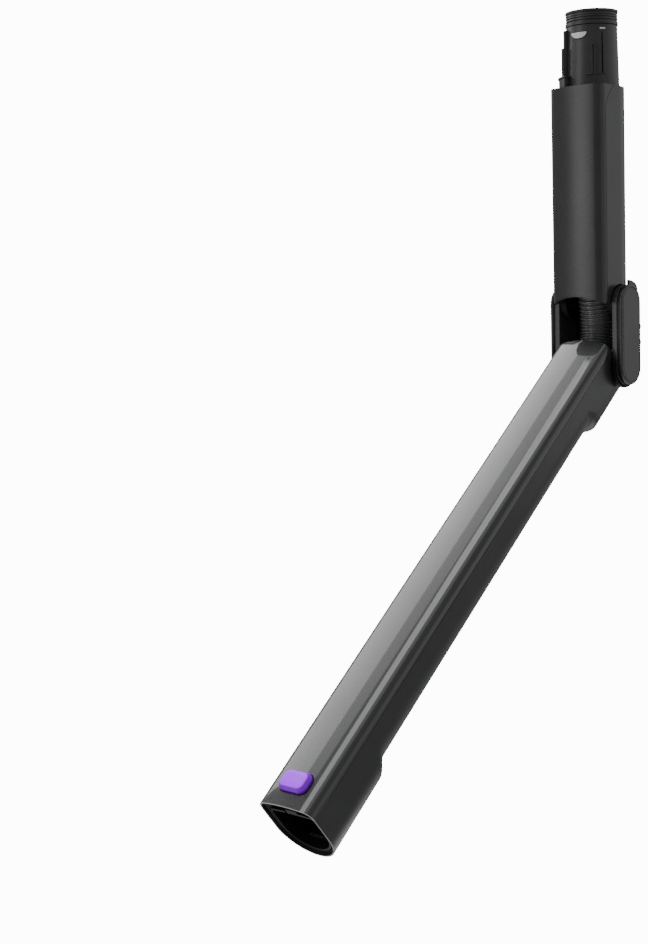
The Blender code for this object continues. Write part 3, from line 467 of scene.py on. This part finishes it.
def make_upper_shells():
    """The upper wand's rear shell and front cover, meeting at the side seam."""
    bottom = -UPPER_PIVOT.z
    stations = evenly(SHOULDER_DROP, SHOULDER_DROP + SEAM_SWING_LENGTH, 8)
    stations += evenly(0.10, bottom - 0.018, 6) + [bottom]
    rear = panel(lambda along, inset: rear_run(inset, UPPER_BACK_SHIFT, seam=upper_seam(along)), stations,
                 None, upper_edge)
    add_piece("upper_rear_skin", rear, "shell_satin", "upper_wand", ("upper_rear_shell",), bevel=0.0004)
    front = panel(lambda along, inset: front_run(inset, seam=upper_seam(along)), stations, None, upper_edge)
    add_piece("upper_front_skin", front, "shell_satin", "upper_wand", ("upper_front_cover",), bevel=0.0004)


def make_shoulder():
    """The flat shoulder with a fine step just inside the shells and a low collar round the neck."""
    top = -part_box("shoulder_plate")[1].z
    shape = bmesh.new()
    layers = [(0.0023, top + 0.0026), (0.0023, top + 0.0006), (0.0029, top + 0.0006), (0.0032, top + 0.0001)]
    rings = []
    for inset, drop in layers:
        rings.append([shape.verts.new((x, y, -drop)) for x, y in whole_run(inset, UPPER_BACK_SHIFT)])
    outline = whole_run(0.0032, UPPER_BACK_SHIFT)
    collar = [(0.0216, top + 0.0001), (0.0214, top - 0.0008), (0.0204, top - 0.0008), (0.0204, top + 0.0026)]
    for radius, drop in collar:
        ring = []
        for x, y in outline:
            reach = math.hypot(x, y)
            kept = min(radius, reach)
            ring.append(shape.verts.new((x / reach * kept, y / reach * kept, -drop)))
        rings.append(ring)
    skin(shape, rings + rings[:1], False)
    add_piece("shoulder_skin", shape, "shell_satin", "upper_wand", ("shoulder_plate",), bevel=0.0002)


def cut(piece, cutter_shape, place):
    """Cut the shape out of a piece before its edges are eased."""
    bmesh.ops.recalc_face_normals(cutter_shape, faces=cutter_shape.faces)
    mesh = bpy.data.meshes.new(piece.name + "_cut")
    cutter_shape.to_mesh(mesh)
    cutter_shape.free()
    mesh.transform(place)
    cutter = new_object(piece.name + "_cut", mesh)
    modifier = piece.modifiers.new("opening", "BOOLEAN")
    modifier.operation = "DIFFERENCE"
    modifier.solver = "EXACT"
    modifier.object = cutter
    bpy.context.view_layer.update()
    others = [other for other in piece.modifiers if other.name != "opening"]
    for other in others:
        other.show_viewport = False
    bpy.context.view_layer.update()
    evaluated = piece.evaluated_get(bpy.context.evaluated_depsgraph_get())
    result = bpy.data.meshes.new_from_object(evaluated)
    piece.modifiers.remove(modifier)
    old = piece.data
    piece.data = result
    bpy.data.meshes.remove(old)
    bpy.data.objects.remove(cutter)
    for other in others:
        other.show_viewport = True
    for polygon in piece.data.polygons:
        polygon.use_smooth = True


def pad_outline(width, length, corner):
    """Rounded rectangle in (x, z) about the origin."""
    outline = []
    for sign_x, sign_z, start in ((1, 1, 0), (-1, 1, 90), (-1, -1, 180), (1, -1, 270)):
        centre = (sign_x * (width / 2 - corner), sign_z * (length / 2 - corner))
        outline += arc(centre, corner, start, start + 90, CORNER_STEPS)
    return outline


def pad(outline, along, y_front, y_back):
    shape = bmesh.new()
    rings = [[shape.verts.new((x, y, z - along)) for x, z in outline] for y in (y_front, y_back)]
    skin(shape, rings, True)
    return shape


def back_tab(angles, drops, reaches, steps=8):
    """A curved block on the lever housing's back: angles from +X towards the back, in degrees."""
    shape = bmesh.new()
    rings = []
    for angle in evenly(*angles, steps):
        turn = math.radians(angle)
        ring = []
        for reach, drop in corners(reaches, drops):
            back = LEVER_BACK_SHIFT + reach * math.sin(turn)
            ring.append(shape.verts.new((reach * math.cos(turn), back, -drop)))
        rings.append(ring)
    skin(shape, rings, True)
    return shape


def make_lower_shells():
    """The lower wand's rear shell with its lever opening, its front cover and the seam's end fillers."""
    stations = [0.0, 0.018, 0.033] + evenly(HOUSING_END - 0.002, HOUSING_END + HOUSING_FADE + 0.002, 10)
    stations += evenly(0.09, COLLAR_START - 0.002, 8) + evenly(COLLAR_START, COLLAR_START + COLLAR_FADE, 10)
    stations += [0.41, 0.43, LOWER_LENGTH]
    rear_shape = panel(lambda along, inset: rear_run(inset, lower_back_shift(along)), stations, lower_edge,
                       wall=END_WALL)
    rear = add_piece("lower_rear_skin", rear_shape, "shell_satin", None, ("lower_rear_shell",),
                     LOWER_FRAME, bevel=0.0003)
    lever_low, lever_high = lower_box("fold_lever")
    half = lever_high.x + LEVER_ROOM
    opening = slab([(-half, HALF_WIDTH - 0.006), (half, HALF_WIDTH - 0.006), (half, HALF_WIDTH + 0.008),
                    (-half, HALF_WIDTH + 0.008)], -lever_high.z - LEVER_ROOM, -lever_low.z + 0.005)
    cut(rear, opening, LOWER_FRAME)
    grooves = []
    panel_line = ((21.5, 23.5), (0.013, 0.0505), 0.0006)
    finger_hole = ((38, 58), (0.0500, 0.0550), 0.0011)
    for side in (1, -1):
        for angles, drops, depth in (panel_line, finger_hole):
            ends = sorted(90 + side * (90 - angle) for angle in angles)
            grooves.append(back_tab(ends, drops, (HALF_WIDTH - depth, HALF_WIDTH + 0.003)))
    cut(rear, joined(grooves), LOWER_FRAME)
    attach(rear, "lower_wand")

    front_stations = [0.0, 0.018] + evenly(0.06, 0.40, 8) + [LOWER_LENGTH]
    front_shape = panel(lambda along, inset: front_run(inset), front_stations, lower_edge, wall=END_WALL)
    front = add_piece("lower_front_skin", front_shape, "front_metallic", None, ("lower_front_cover",),
                      LOWER_FRAME, bevel=0.0003)
    button_low, button_high = lower_box("release_button")
    button_along = -(button_low.z + button_high.z) / 2
    width = button_high.x - button_low.x + 2 * BUTTON_ROOM
    length = button_high.z - button_low.z + 2 * BUTTON_ROOM
    well = pad_outline(width, length, BUTTON_CORNER + BUTTON_ROOM)
    cut(front, pad(well, button_along, -FRONT_DEPTH - 0.006, -FRONT_DEPTH + 0.006), LOWER_FRAME)
    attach(front, "lower_wand")
    for side, sign in (("left", -1), ("right", 1)):
        outline = [(sign * (HALF_WIDTH - depth), -SEAM_DEPTH + y) for depth, y in
                   ((0.0012, -0.0007), (0.00002, -0.0007), (0.00002, 0.0010), (0.0012, 0.0010))]
        filler = slab(outline, SEAM_END, LOWER_LENGTH - 0.0004)
        add_piece(f"seam_end_{side}", filler, "shell_satin", "lower_wand", (), LOWER_FRAME)


def make_mouth_lip():
    """The double lip round the upper tube's lower mouth: a thin ring just inside the shells' edge."""
    inset, wall, drop = 0.0004, 0.0014, 0.0011
    rings = []
    shape = bmesh.new()
    for size, shift in ((inset, -0.004), (inset, drop), (inset + wall, drop), (inset + wall, -0.004)):
        ring = []
        for x, y in front_run(size):
            ring.append(shape.verts.new((x, y, -(upper_edge(x, -FRONT_DEPTH) + shift))))
        rings.append(ring)
    count = len(rings[0])
    for first, second in zip(rings, rings[1:] + rings[:1]):
        for index in range(count - 1):
            shape.faces.new((first[index], first[index + 1], second[index + 1], second[index]))
    for index in (0, count - 1):
        shape.faces.new([ring[index] for ring in rings])
    return shape


# --- joint ----------------------------------------------------------------------------------------
def stadium(radius):
    top = arc((0, 0), radius, 0, 180, 32)
    bottom = arc((0, -SPACING), radius, 180, 360, 32)
    return top + bottom


def make_link_cap(side, sign):
    """The outer pod: rounded rim, a fine ring groove and a flat raised field."""
    inner, outer = CAP_LOW.x, CAP_HIGH.x
    ease, groove = 0.0013, 0.0004
    profile = [(0.0, inner)]
    for angle in range(0, 91, 15):
        turn = math.radians(angle)
        profile.append((ease * (1 - math.cos(turn)), outer - ease + ease * math.sin(turn)))
    profile += [(0.0019, outer), (0.0020, outer - groove), (0.0024, outer - groove), (0.0026, outer)]
    shape = bmesh.new()
    rings = []
    for shrink, x in profile:
        outline = stadium(LINK_RADIUS - shrink)
        rings.append([shape.verts.new((sign * x, y, z + UPPER_PIVOT.z)) for y, z in outline])
    skin(shape, rings, True)
    add_piece(f"link_cap_{side}_skin", shape, "joint_plastic", "links", (f"link_cap_{side}",))


def dressed(node, body, bevel, slot=None, angle=40):
    """A piece with eased edges in the exact place of a simple CAD node."""
    shape = bmesh.new()
    shape.from_mesh(frame["nodes"][node].data)
    bmesh.ops.remove_doubles(shape, verts=shape.verts, dist=1e-6)
    bmesh.ops.dissolve_limit(shape, angle_limit=math.radians(1), verts=shape.verts, edges=shape.edges)
    if slot is None:
        slot = {entry["node"]: entry["material_slot"] for entry in frame["record"]["subparts"]}[node]
    return add_piece(f"{node}_skin", shape, slot, body, (node,), bevel=bevel, angle=angle)


def guard_section(inset):
    """The rear guard's U: straight sides, round corners and a gently bowed back."""
    low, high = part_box("rear_guard")
    side, corner, back = high.x - inset, GUARD_CORNER - inset, high.y
    right = [(side, y) for y in evenly(low.y - 0.0015, back - GUARD_CORNER, 6)[:-1]]
    right += arc((high.x - GUARD_CORNER, back - GUARD_CORNER), corner, 0, 90, CORNER_STEPS)
    right += [(x, back - inset) for x in evenly(high.x - GUARD_CORNER, 0.0, 4)[1:-1]]
    return right + [(0.0, back - inset)] + [(-x, y) for x, y in reversed(right)]


def make_guard():
    """The U behind the joint, with its upper and lower edges falling away towards the back."""
    low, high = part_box("rear_guard")

    def fall(y):
        inward = max(0.0, y - (high.y - GUARD_ROUNDING))
        return GUARD_ROUNDING - math.sqrt(max(0.0, GUARD_ROUNDING ** 2 - inward * inward))

    shape = panel(lambda along, inset: guard_section(inset), evenly(-high.z, -low.z, 6),
                  lambda x, y: -high.z + fall(y), lambda x, y: -low.z - fall(y) / 2)
    add_piece("rear_guard_skin", shape, "joint_plastic", "links", ("rear_guard",), bevel=0.0004)


def make_links():
    for side, sign in (("left", -1), ("right", 1)):
        make_link_cap(side, sign)
        dressed(f"link_arm_{side}", "links", 0.0005)
        # A near-black disc between the tube's side and the link arm at the lower pivot: the cheek there, painted
        # as the shade in its gap.
        shape = bmesh.new()
        rings = []
        for x in (HALF_WIDTH + 0.0006, ARM_HIGH.x - 0.0008):
            rings.append([shape.verts.new((sign * x, LOWER_PIVOT.y + y, LOWER_PIVOT.z + z))
                          for y, z in circle(CHEEK_DISC_RADIUS, 72)])
        skin(shape, rings, True)
        add_piece(f"pivot_boss_{side}", shape, "inner_black", "links", bevel=0.0004)
    make_guard()


def hose_point(share):
    """A point on the hose's centre line for a share from 0 at the upper duct to 1 at the lower one."""
    start = Vector((0, 0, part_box("hose_upper")[1].z))
    end = LOWER_FRAME @ HOSE_END
    pull = (end - start).length * HOSE_PULL
    square, cube = share * share, share * share * share
    point = start * (2 * cube - 3 * square + 1) + end * (3 * square - 2 * cube)
    point += Vector((0, 0, -1)) * pull * (cube - 2 * square + share) + LOWER_DOWN * pull * (cube - square)
    return point + Vector((0, HOSE_SAG * math.sin(math.pi * share), 0))


def make_hose():
    """Corrugated hose in two lengths."""
    ring_steps, around = 8, 56
    total = HOSE_RIBS * ring_steps
    split = int(total * HOSE_SPLIT / ring_steps) * ring_steps
    across = Vector((1, 0, 0))
    for name, first, last, pair in (("upper", 0, split, ("upper_wand", "links")),
                                    ("lower", split, total, ("links", "lower_wand"))):
        shape = bmesh.new()
        outer, inner = [], []
        for number in range(first, last + 1):
            share = number / total
            centre = hose_point(share)
            direction = (hose_point(min(1, share + 0.002)) - hose_point(max(0, share - 0.002))).normalized()
            behind = direction.cross(across)
            phase = 2 * math.pi * (number % ring_steps) / ring_steps
            swell = HOSE_RADIUS - HOSE_RIB_DEPTH * (0.5 - 0.5 * math.cos(phase)) ** 1.5
            tight = HOSE_RADIUS - HOSE_RIB_DEPTH - HOSE_WALL
            for loops, reach in ((outer, swell), (inner, tight)):
                loops.append([shape.verts.new(centre + across * x + behind * y)
                              for x, y in circle(reach, around)])
        loops = outer + inner[::-1]
        skin(shape, loops + loops[:1], False)
        piece = add_piece(f"hose_{name}_skin", shape, "hose_rubber", None, (f"hose_{name}",))
        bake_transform(piece)


# --- neck -----------------------------------------------------------------------------------------
def neck_tab(angles, drops, reaches, steps=8):
    """A curved tab on the neck: angles from the front in degrees, drops and reaches in metres."""
    shape = bmesh.new()
    rings = []
    for angle in evenly(*angles, steps):
        turn = math.radians(angle)
        ring = []
        for reach, drop in corners(reaches, drops):
            ring.append(shape.verts.new((reach * math.sin(turn), -reach * math.cos(turn), -drop)))
        rings.append(ring)
    skin(shape, rings, True)
    return shape


def joined(shapes):
    """Several closed shapes as one mesh."""
    whole = bmesh.new()
    for shape in shapes:
        part = bpy.data.meshes.new("part")
        bmesh.ops.recalc_face_normals(shape, faces=shape.faces)
        shape.to_mesh(part)
        shape.free()
        whole.from_mesh(part)
        bpy.data.meshes.remove(part)
    return whole


def make_neck():
    """The neck's tube with its two side grooves, and its ribbed seal."""
    radius, bore = NECK_RADIUS, NECK_BORE
    bottom = SHOULDER_DROP + 0.0045
    seat = radius - 0.0012
    top = -SEAL_LOW.z + PANEL_GAP
    outer = [(seat, 0.0), (seat, top), (radius - 0.0002, top), (radius, top + 0.0002)]
    outer += [(radius + NECK_FLARE, bottom), (bore, bottom), (bore, 0.0006), (bore + 0.0006, 0.0)]
    neck = add_piece("neck_tube_skin", lathe(outer, LATHE_STEPS), "neck_plastic", None, ("neck_spigot",),
                     bevel=0.00015)
    grooves = []
    for side in (-1, 1):
        turn = side * NECK_GROOVE_ANGLE
        reaches = (radius - 0.0010, radius + 0.004)
        grooves.append(neck_tab((turn - 1.7, turn + 1.7), (0.0175, 0.0505), reaches, 2))
    cut(neck, joined(grooves), UPPER_FRAME)
    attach(neck, "upper_wand")

    end, reach = -SEAL_LOW.z, SEAL_HIGH.x
    profile = [(seat + PANEL_GAP, end), (seat + PANEL_GAP, 0.0)]
    lips = ((0.0, 0.0017, 0.0), (0.0017, 0.0027, 0.0014), (0.0027, 0.0040, 0.0004),
            (0.0040, 0.0044, 0.0009), (0.0044, 0.0056, 0.0004), (0.0056, 0.0065, 0.0014),
            (0.0065, 0.0077, 0.0004), (0.0077, 0.0088, 0.0014), (0.0088, end, 0.0))
    for begin, stop, depth in lips:
        profile += [(reach - depth, begin + 0.00005), (reach - depth, stop - 0.00005)]
    add_piece("neck_seal_skin", lathe(profile, LATHE_STEPS), "seal_rubber", "upper_wand", ("neck_seal_ring",),
              bevel=0.0002)


def make_guides():
    """Guide ribs, tall on the left and low on the right, a foot under each, and small painted highlights on the
    neck.
    """
    rail_top, foot_top = -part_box("guide_rail_right")[1].z, -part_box("guide_foot_right")[1].z
    rail_step, inner, outer, foot = 0.0273, 0.0225, 0.0242, 0.0262
    root = NECK_RADIUS - 0.0002
    ribs = []
    for offset in (-2.7, 2.7):
        spread_angle = (-RAIL_ANGLE + offset - 1.6, -RAIL_ANGLE + offset + 1.6)
        ribs.append(neck_tab(spread_angle, (rail_top, foot_top), (root, inner), 2))
        ribs.append(neck_tab(spread_angle, (rail_step, foot_top), (inner - 0.0004, outer), 2))
    add_piece("guide_rail_left_skin", joined(ribs), "neck_plastic", "upper_wand", ("guide_rail_left",),
              bevel=0.0003)
    ribs = []
    for offset in (-3.0, 3.0):
        spread_angle = (RAIL_ANGLE + offset - 1.5, RAIL_ANGLE + offset + 1.5)
        ribs.append(neck_tab(spread_angle, (rail_step, foot_top), (root, 0.0214), 2))
    bridge = (RAIL_ANGLE - 4.2, RAIL_ANGLE + 4.2)
    ribs.append(neck_tab(bridge, (rail_step - 0.0008, rail_step), (root, 0.0216), 2))
    add_piece("guide_rail_right_skin", joined(ribs), "neck_plastic", "upper_wand", ("guide_rail_right",),
              bevel=0.00025)
    ledge = neck_tab((-65, -20), (foot_top, foot_top + 0.0015), (root, foot), 12)
    block = neck_tab((-63, -22), (foot_top + 0.0012, SHOULDER_DROP), (root, foot - 0.0008), 12)
    add_piece("guide_foot_left_skin", joined([ledge, block]), "neck_plastic", "upper_wand",
              ("guide_foot_left",), bevel=0.0004)
    ledge = neck_tab((20, 65), (foot_top, foot_top + 0.0007), (root, 0.0216), 12)
    block = neck_tab((34.5, 62), (foot_top + 0.0006, SHOULDER_DROP), (root, 0.0211), 12)
    add_piece("guide_foot_right_skin", joined([ledge, block]), "neck_plastic", "upper_wand",
              ("guide_foot_right",), bevel=0.00025)
    # Painted highlights: small pale strokes on the neck just above each side groove.
    for side, sign in (("left", -1), ("right", 1)):
        slit = sorted((sign * 51.0, sign * 64.0))
        mark = neck_tab(slit, (0.0144, 0.0156), (root, NECK_RADIUS + 0.0005), 6)
        add_piece(f"moulding_mark_{side}", mark, "window_clear", "upper_wand", bevel=0.0002)


def crescent(grow, reaches):
    """A smile on the neck's front: flat along its top and round below; grow widens it all round."""
    half, top, height = 19.0 + grow * 1500, 0.0172 - grow * 0.3, 0.0044 + grow
    shape = bmesh.new()
    rings = []
    for angle in evenly(-half, half, 24):
        turn = math.radians(angle + 3)
        swell = math.sqrt(max(0.0, 1 - (angle / half) ** 2))
        low = top + height * (0.06 + 0.94 * swell)
        ring = []
        for reach, drop in corners(reaches, (top, low)):
            ring.append(shape.verts.new((reach * math.sin(turn), -reach * math.cos(turn), -drop)))
        rings.append(ring)
    skin(shape, rings, True)
    return shape


def make_crescent():
    root = NECK_RADIUS - 0.0002
    add_piece("latch_rim_skin", crescent(0.0009, (root, NECK_RADIUS + 0.0004)), "inner_black", "upper_wand")
    # Painted light: the clear latch window is drawn opaque pale grey.
    add_piece("latch_plate_skin", crescent(0.0, (root, NECK_RADIUS + 0.0009)), "window_clear", "upper_wand",
              ("latch_plate",), bevel=0.0002)


# --- bottom end -----------------------------------------------------------------------------------
def make_button():
    """The release button: a softly crowned pad and its lower step."""
    low, high = lower_box("release_button")
    along = -(low.z + high.z) / 2
    width, length = high.x - low.x, high.z - low.z
    top = low.y - 0.0006
    shape = bmesh.new()
    rings = []
    layers = [(0.0, high.y), (0.0, -FRONT_DEPTH - 0.0014), (0.0003, -FRONT_DEPTH - 0.0017),
              (0.0019, top + 0.0004), (0.0022, top + 0.0001), (0.0027, top), (0.0050, top - 0.0001)]
    for shrink, y in layers:
        outline = pad_outline(width - 2 * shrink, length - 2 * shrink, max(0.0012, BUTTON_CORNER - shrink))
        rings.append([shape.verts.new((x, y, z - along)) for x, z in outline])
    skin(shape, rings, True)
    add_piece("release_button_skin", shape, "button_violet", "release_button", ("release_button",),
              LOWER_FRAME)


def make_lever():
    """The fold lever: a curved rocker with a dished end and three grip ribs."""
    low, high = lower_box("fold_lever")
    start, end, half = -high.z, -low.z, high.x
    shape = bmesh.new()
    rings = []
    for along in evenly(start, end, 24):
        dish = 0.0009 * smooth_share(along, end - 0.012, 0.009)
        ridge = 0.0
        for number in range(3):
            ridge = max(ridge, 0.0005 * max(0.0, 1 - abs(along - (end - 0.004 - number * 0.0026)) / 0.0009))
        ring = []
        across = evenly(-half, half, 12)
        for x in across:
            surface = LEVER_BACK_SHIFT + math.sqrt(HALF_WIDTH ** 2 - x * x)
            ring.append(shape.verts.new((x, surface - 0.0003 - dish + ridge, -along)))
        for x in reversed(across):
            surface = LEVER_BACK_SHIFT + math.sqrt(HALF_WIDTH ** 2 - x * x)
            ring.append(shape.verts.new((x, surface - 0.0024, -along)))
        rings.append(ring)
    skin(shape, rings, True)
    add_piece("fold_lever_skin", shape, "joint_plastic", "fold_lever", ("fold_lever",), LOWER_FRAME,
              bevel=0.0003)
    hole_start, reach = end + 0.0005, half - 0.0005
    cup = slab([(-reach, 0.0150), (reach, 0.0150), (reach, 0.0164), (-reach, 0.0164)],
               hole_start - 0.006, hole_start + 0.005)
    add_piece("lever_cup", cup, "inner_black", "lower_wand", (), LOWER_FRAME, bevel=0.0003)


def make_socket():
    """The mouth, near-black partly as painted shade: a deep-set rim behind the shells' edge, the pawl, and the
    contacts as sockets.
    """
    liner_low, liner_high = lower_box("socket_liner")
    inset = HALF_WIDTH - liner_high.x + 0.0016
    front = FRONT_DEPTH + liner_low.y + 0.0016
    shape = bmesh.new()
    rings = []
    layers = [(0.0014, 0.0014, 0.0060), (0.0014, 0.0014, 0.0022), (0.0022, 0.0026, 0.0022),
              (inset, front, 0.0048), (inset, front, 0.0060)]
    for side_inset, front_inset, lift in layers:
        outline = whole_run(side_inset, COLLAR_BACK_SHIFT, front_inset)
        rings.append([shape.verts.new((x, y, -LOWER_LENGTH + lift)) for x, y in outline])
    skin(shape, rings + rings[:1], False)
    add_piece("socket_rim_skin", shape, "inner_black", "lower_wand", ("socket_rim",), LOWER_FRAME,
              bevel=0.0002)
    # Painted shade: the pawl is drawn in the near-black inner material instead of its violet slot, as the shade
    # deep in the mouth.
    dressed("latch_pawl", "latch_pawl", 0.0004, "inner_black")
    low, high = lower_box("contact_block")
    outline = [(low.x, low.y), (high.x, low.y), (high.x, high.y), (low.x, high.y)]
    block = slab(outline, -high.z, -low.z)
    replaced = ("contact_block", "contact_pin_1", "contact_pin_2", "contact_pin_3")
    contacts = add_piece("contact_block_skin", block, "inner_black", None, replaced, LOWER_FRAME,
                         bevel=0.0004)
    holes = []
    for number in (-1, 0, 1):
        spots = circle(CONTACT_RADIUS, 20, (number * CONTACT_PITCH, (low.y + high.y) / 2))
        holes.append(slab(spots, -low.z - 0.003, -low.z + 0.002))
    cut(contacts, joined(holes), LOWER_FRAME)
    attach(contacts, "lower_wand")


# --- stage ----------------------------------------------------------------------------------------
def make_floor():
    """A plain pale disc well below the wand."""
    shape = bmesh.new()
    shape.faces.new([shape.verts.new((x, y, FLOOR_LEVEL)) for x, y in circle(FLOOR_RADIUS, LATHE_STEPS)])
    mesh = bpy.data.meshes.new("floor")
    shape.to_mesh(mesh)
    shape.free()
    floor = new_object("floor", mesh)
    material, _, _, shader = new_material("floor_pale")
    shader.inputs["Base Color"].default_value = (0.9, 0.9, 0.9, 1)
    shader.inputs["Roughness"].default_value = 0.9
    shader.inputs["Emission Color"].default_value = (1, 1, 1, 1)
    shader.inputs["Emission Strength"].default_value = FLOOR_GLOW
    mesh.materials.append(material)


def soft_panel(name, corner, across, along, radiance):
    """A softbox from its corner, its edge across and its edge along; it faces the wand's middle."""
    corner, across, along = Vector(corner), Vector(across), Vector(along)
    data = bpy.data.lights.new(name, "AREA")
    data.shape = "RECTANGLE"
    data.size, data.size_y = across.length, along.length
    data.energy = radiance * math.pi * across.length * along.length
    light = new_object(name, data)
    middle = corner + across / 2 + along / 2
    across = across.normalized()
    along = (along - across * along.dot(across)).normalized()
    away = across.cross(along)
    if away.dot(middle - WAND_MIDDLE) < 0:
        across, away = -across, -away
    light.matrix_world = Matrix.Translation(middle) @ Matrix((across, along, away)).transposed().to_4x4()
    light.visible_camera = False


def make_lights():
    world = bpy.data.worlds.new("studio")
    bpy.context.scene.world = world
    world.use_nodes = True
    nodes, links = world.node_tree.nodes, world.node_tree.links
    room = nodes["Background"]
    room.inputs["Color"].default_value = (1, 1, 1, 1)
    room.inputs["Strength"].default_value = ROOM_LIGHT
    backdrop = nodes.new("ShaderNodeBackground")
    backdrop.inputs["Color"].default_value = (1, 1, 1, 1)
    backdrop.inputs["Strength"].default_value = BACKDROP_LIGHT
    path = nodes.new("ShaderNodeLightPath")
    choice = nodes.new("ShaderNodeMixShader")
    links.new(path.outputs["Is Camera Ray"], choice.inputs["Fac"])
    links.new(room.outputs["Background"], choice.inputs[1])
    links.new(backdrop.outputs["Background"], choice.inputs[2])
    links.new(choice.outputs["Shader"], nodes["World Output"].inputs["Surface"])
    soft_panel("key_high_left", (-0.632, 0.224, 0.899), (-0.46, 0.29, -0.37), (-0.147, -0.79, -0.425), 3.4)
    soft_panel("front_left", (-0.72, -1.10, -0.55), (0.36, -0.16, 0.0), (0.0, 0.0, 1.1), 2.4)
    soft_panel("key_fade", (-0.632, 0.224, 0.899), (0.15, -0.095, 0.12), (-0.147, -0.79, -0.425), 1.4)
    soft_panel("overhead_wide", (-0.42, -1.20, 0.98), (1.0, 0.0, 0.0), (0.0, 1.45, 0.0), 0.8)
    soft_panel("overhead_strip", (-0.50, 0.05, 0.95), (0.44, -0.12, 0.0), (-0.25, -0.95, 0.0), 3.9)
    soft_panel("right_side", (1.5, -0.5, -0.5), (0.1, 1.0, 0.0), (0.0, 0.0, 0.8), 0.4)
    soft_panel("low_front", (-0.9, -1.3, -0.95), (0.9, -0.2, 0.0), (0.0, 0.5, -0.15), 2.0)
    soft_panel("right_back", (0.2, 1.7, -0.5), (1.6, -1.1, 0.0), (0.0, 0.0, 1.5), 0.48)


def make_camera():
    data = bpy.data.cameras.new("camera")
    data.lens = CAMERA_LENS
    data.sensor_width = 36.0
    camera = new_object("camera", data)
    azimuth, elevation = math.radians(CAMERA_AZIMUTH), math.radians(CAMERA_ELEVATION)
    roll = math.radians(CAMERA_ROLL)
    back = Vector((math.sin(azimuth) * math.cos(elevation), -math.cos(azimuth) * math.cos(elevation),
                   math.sin(elevation)))
    right = Vector((math.cos(azimuth), math.sin(azimuth), 0))
    up = back.cross(right)
    turned_right = right * math.cos(roll) + up * math.sin(roll)
    turned_up = up * math.cos(roll) - right * math.sin(roll)
    turn = Matrix((turned_right, turned_up, back)).transposed().to_4x4()
    camera.matrix_world = Matrix.Translation(CAMERA_PLACE) @ turn
    bpy.context.scene.camera = camera


# --- making ---------------------------------------------------------------------------------------
make_camera()
repaint_cad()
make_upper_shells()
make_lower_shells()
add_piece("upper_mouth_lip", make_mouth_lip(), "shell_satin", "upper_wand", bevel=0.0002)
make_shoulder()
make_links()
make_hose()
make_neck()
make_guides()
make_crescent()
make_button()
make_lever()
make_socket()
make_floor()
make_lights()
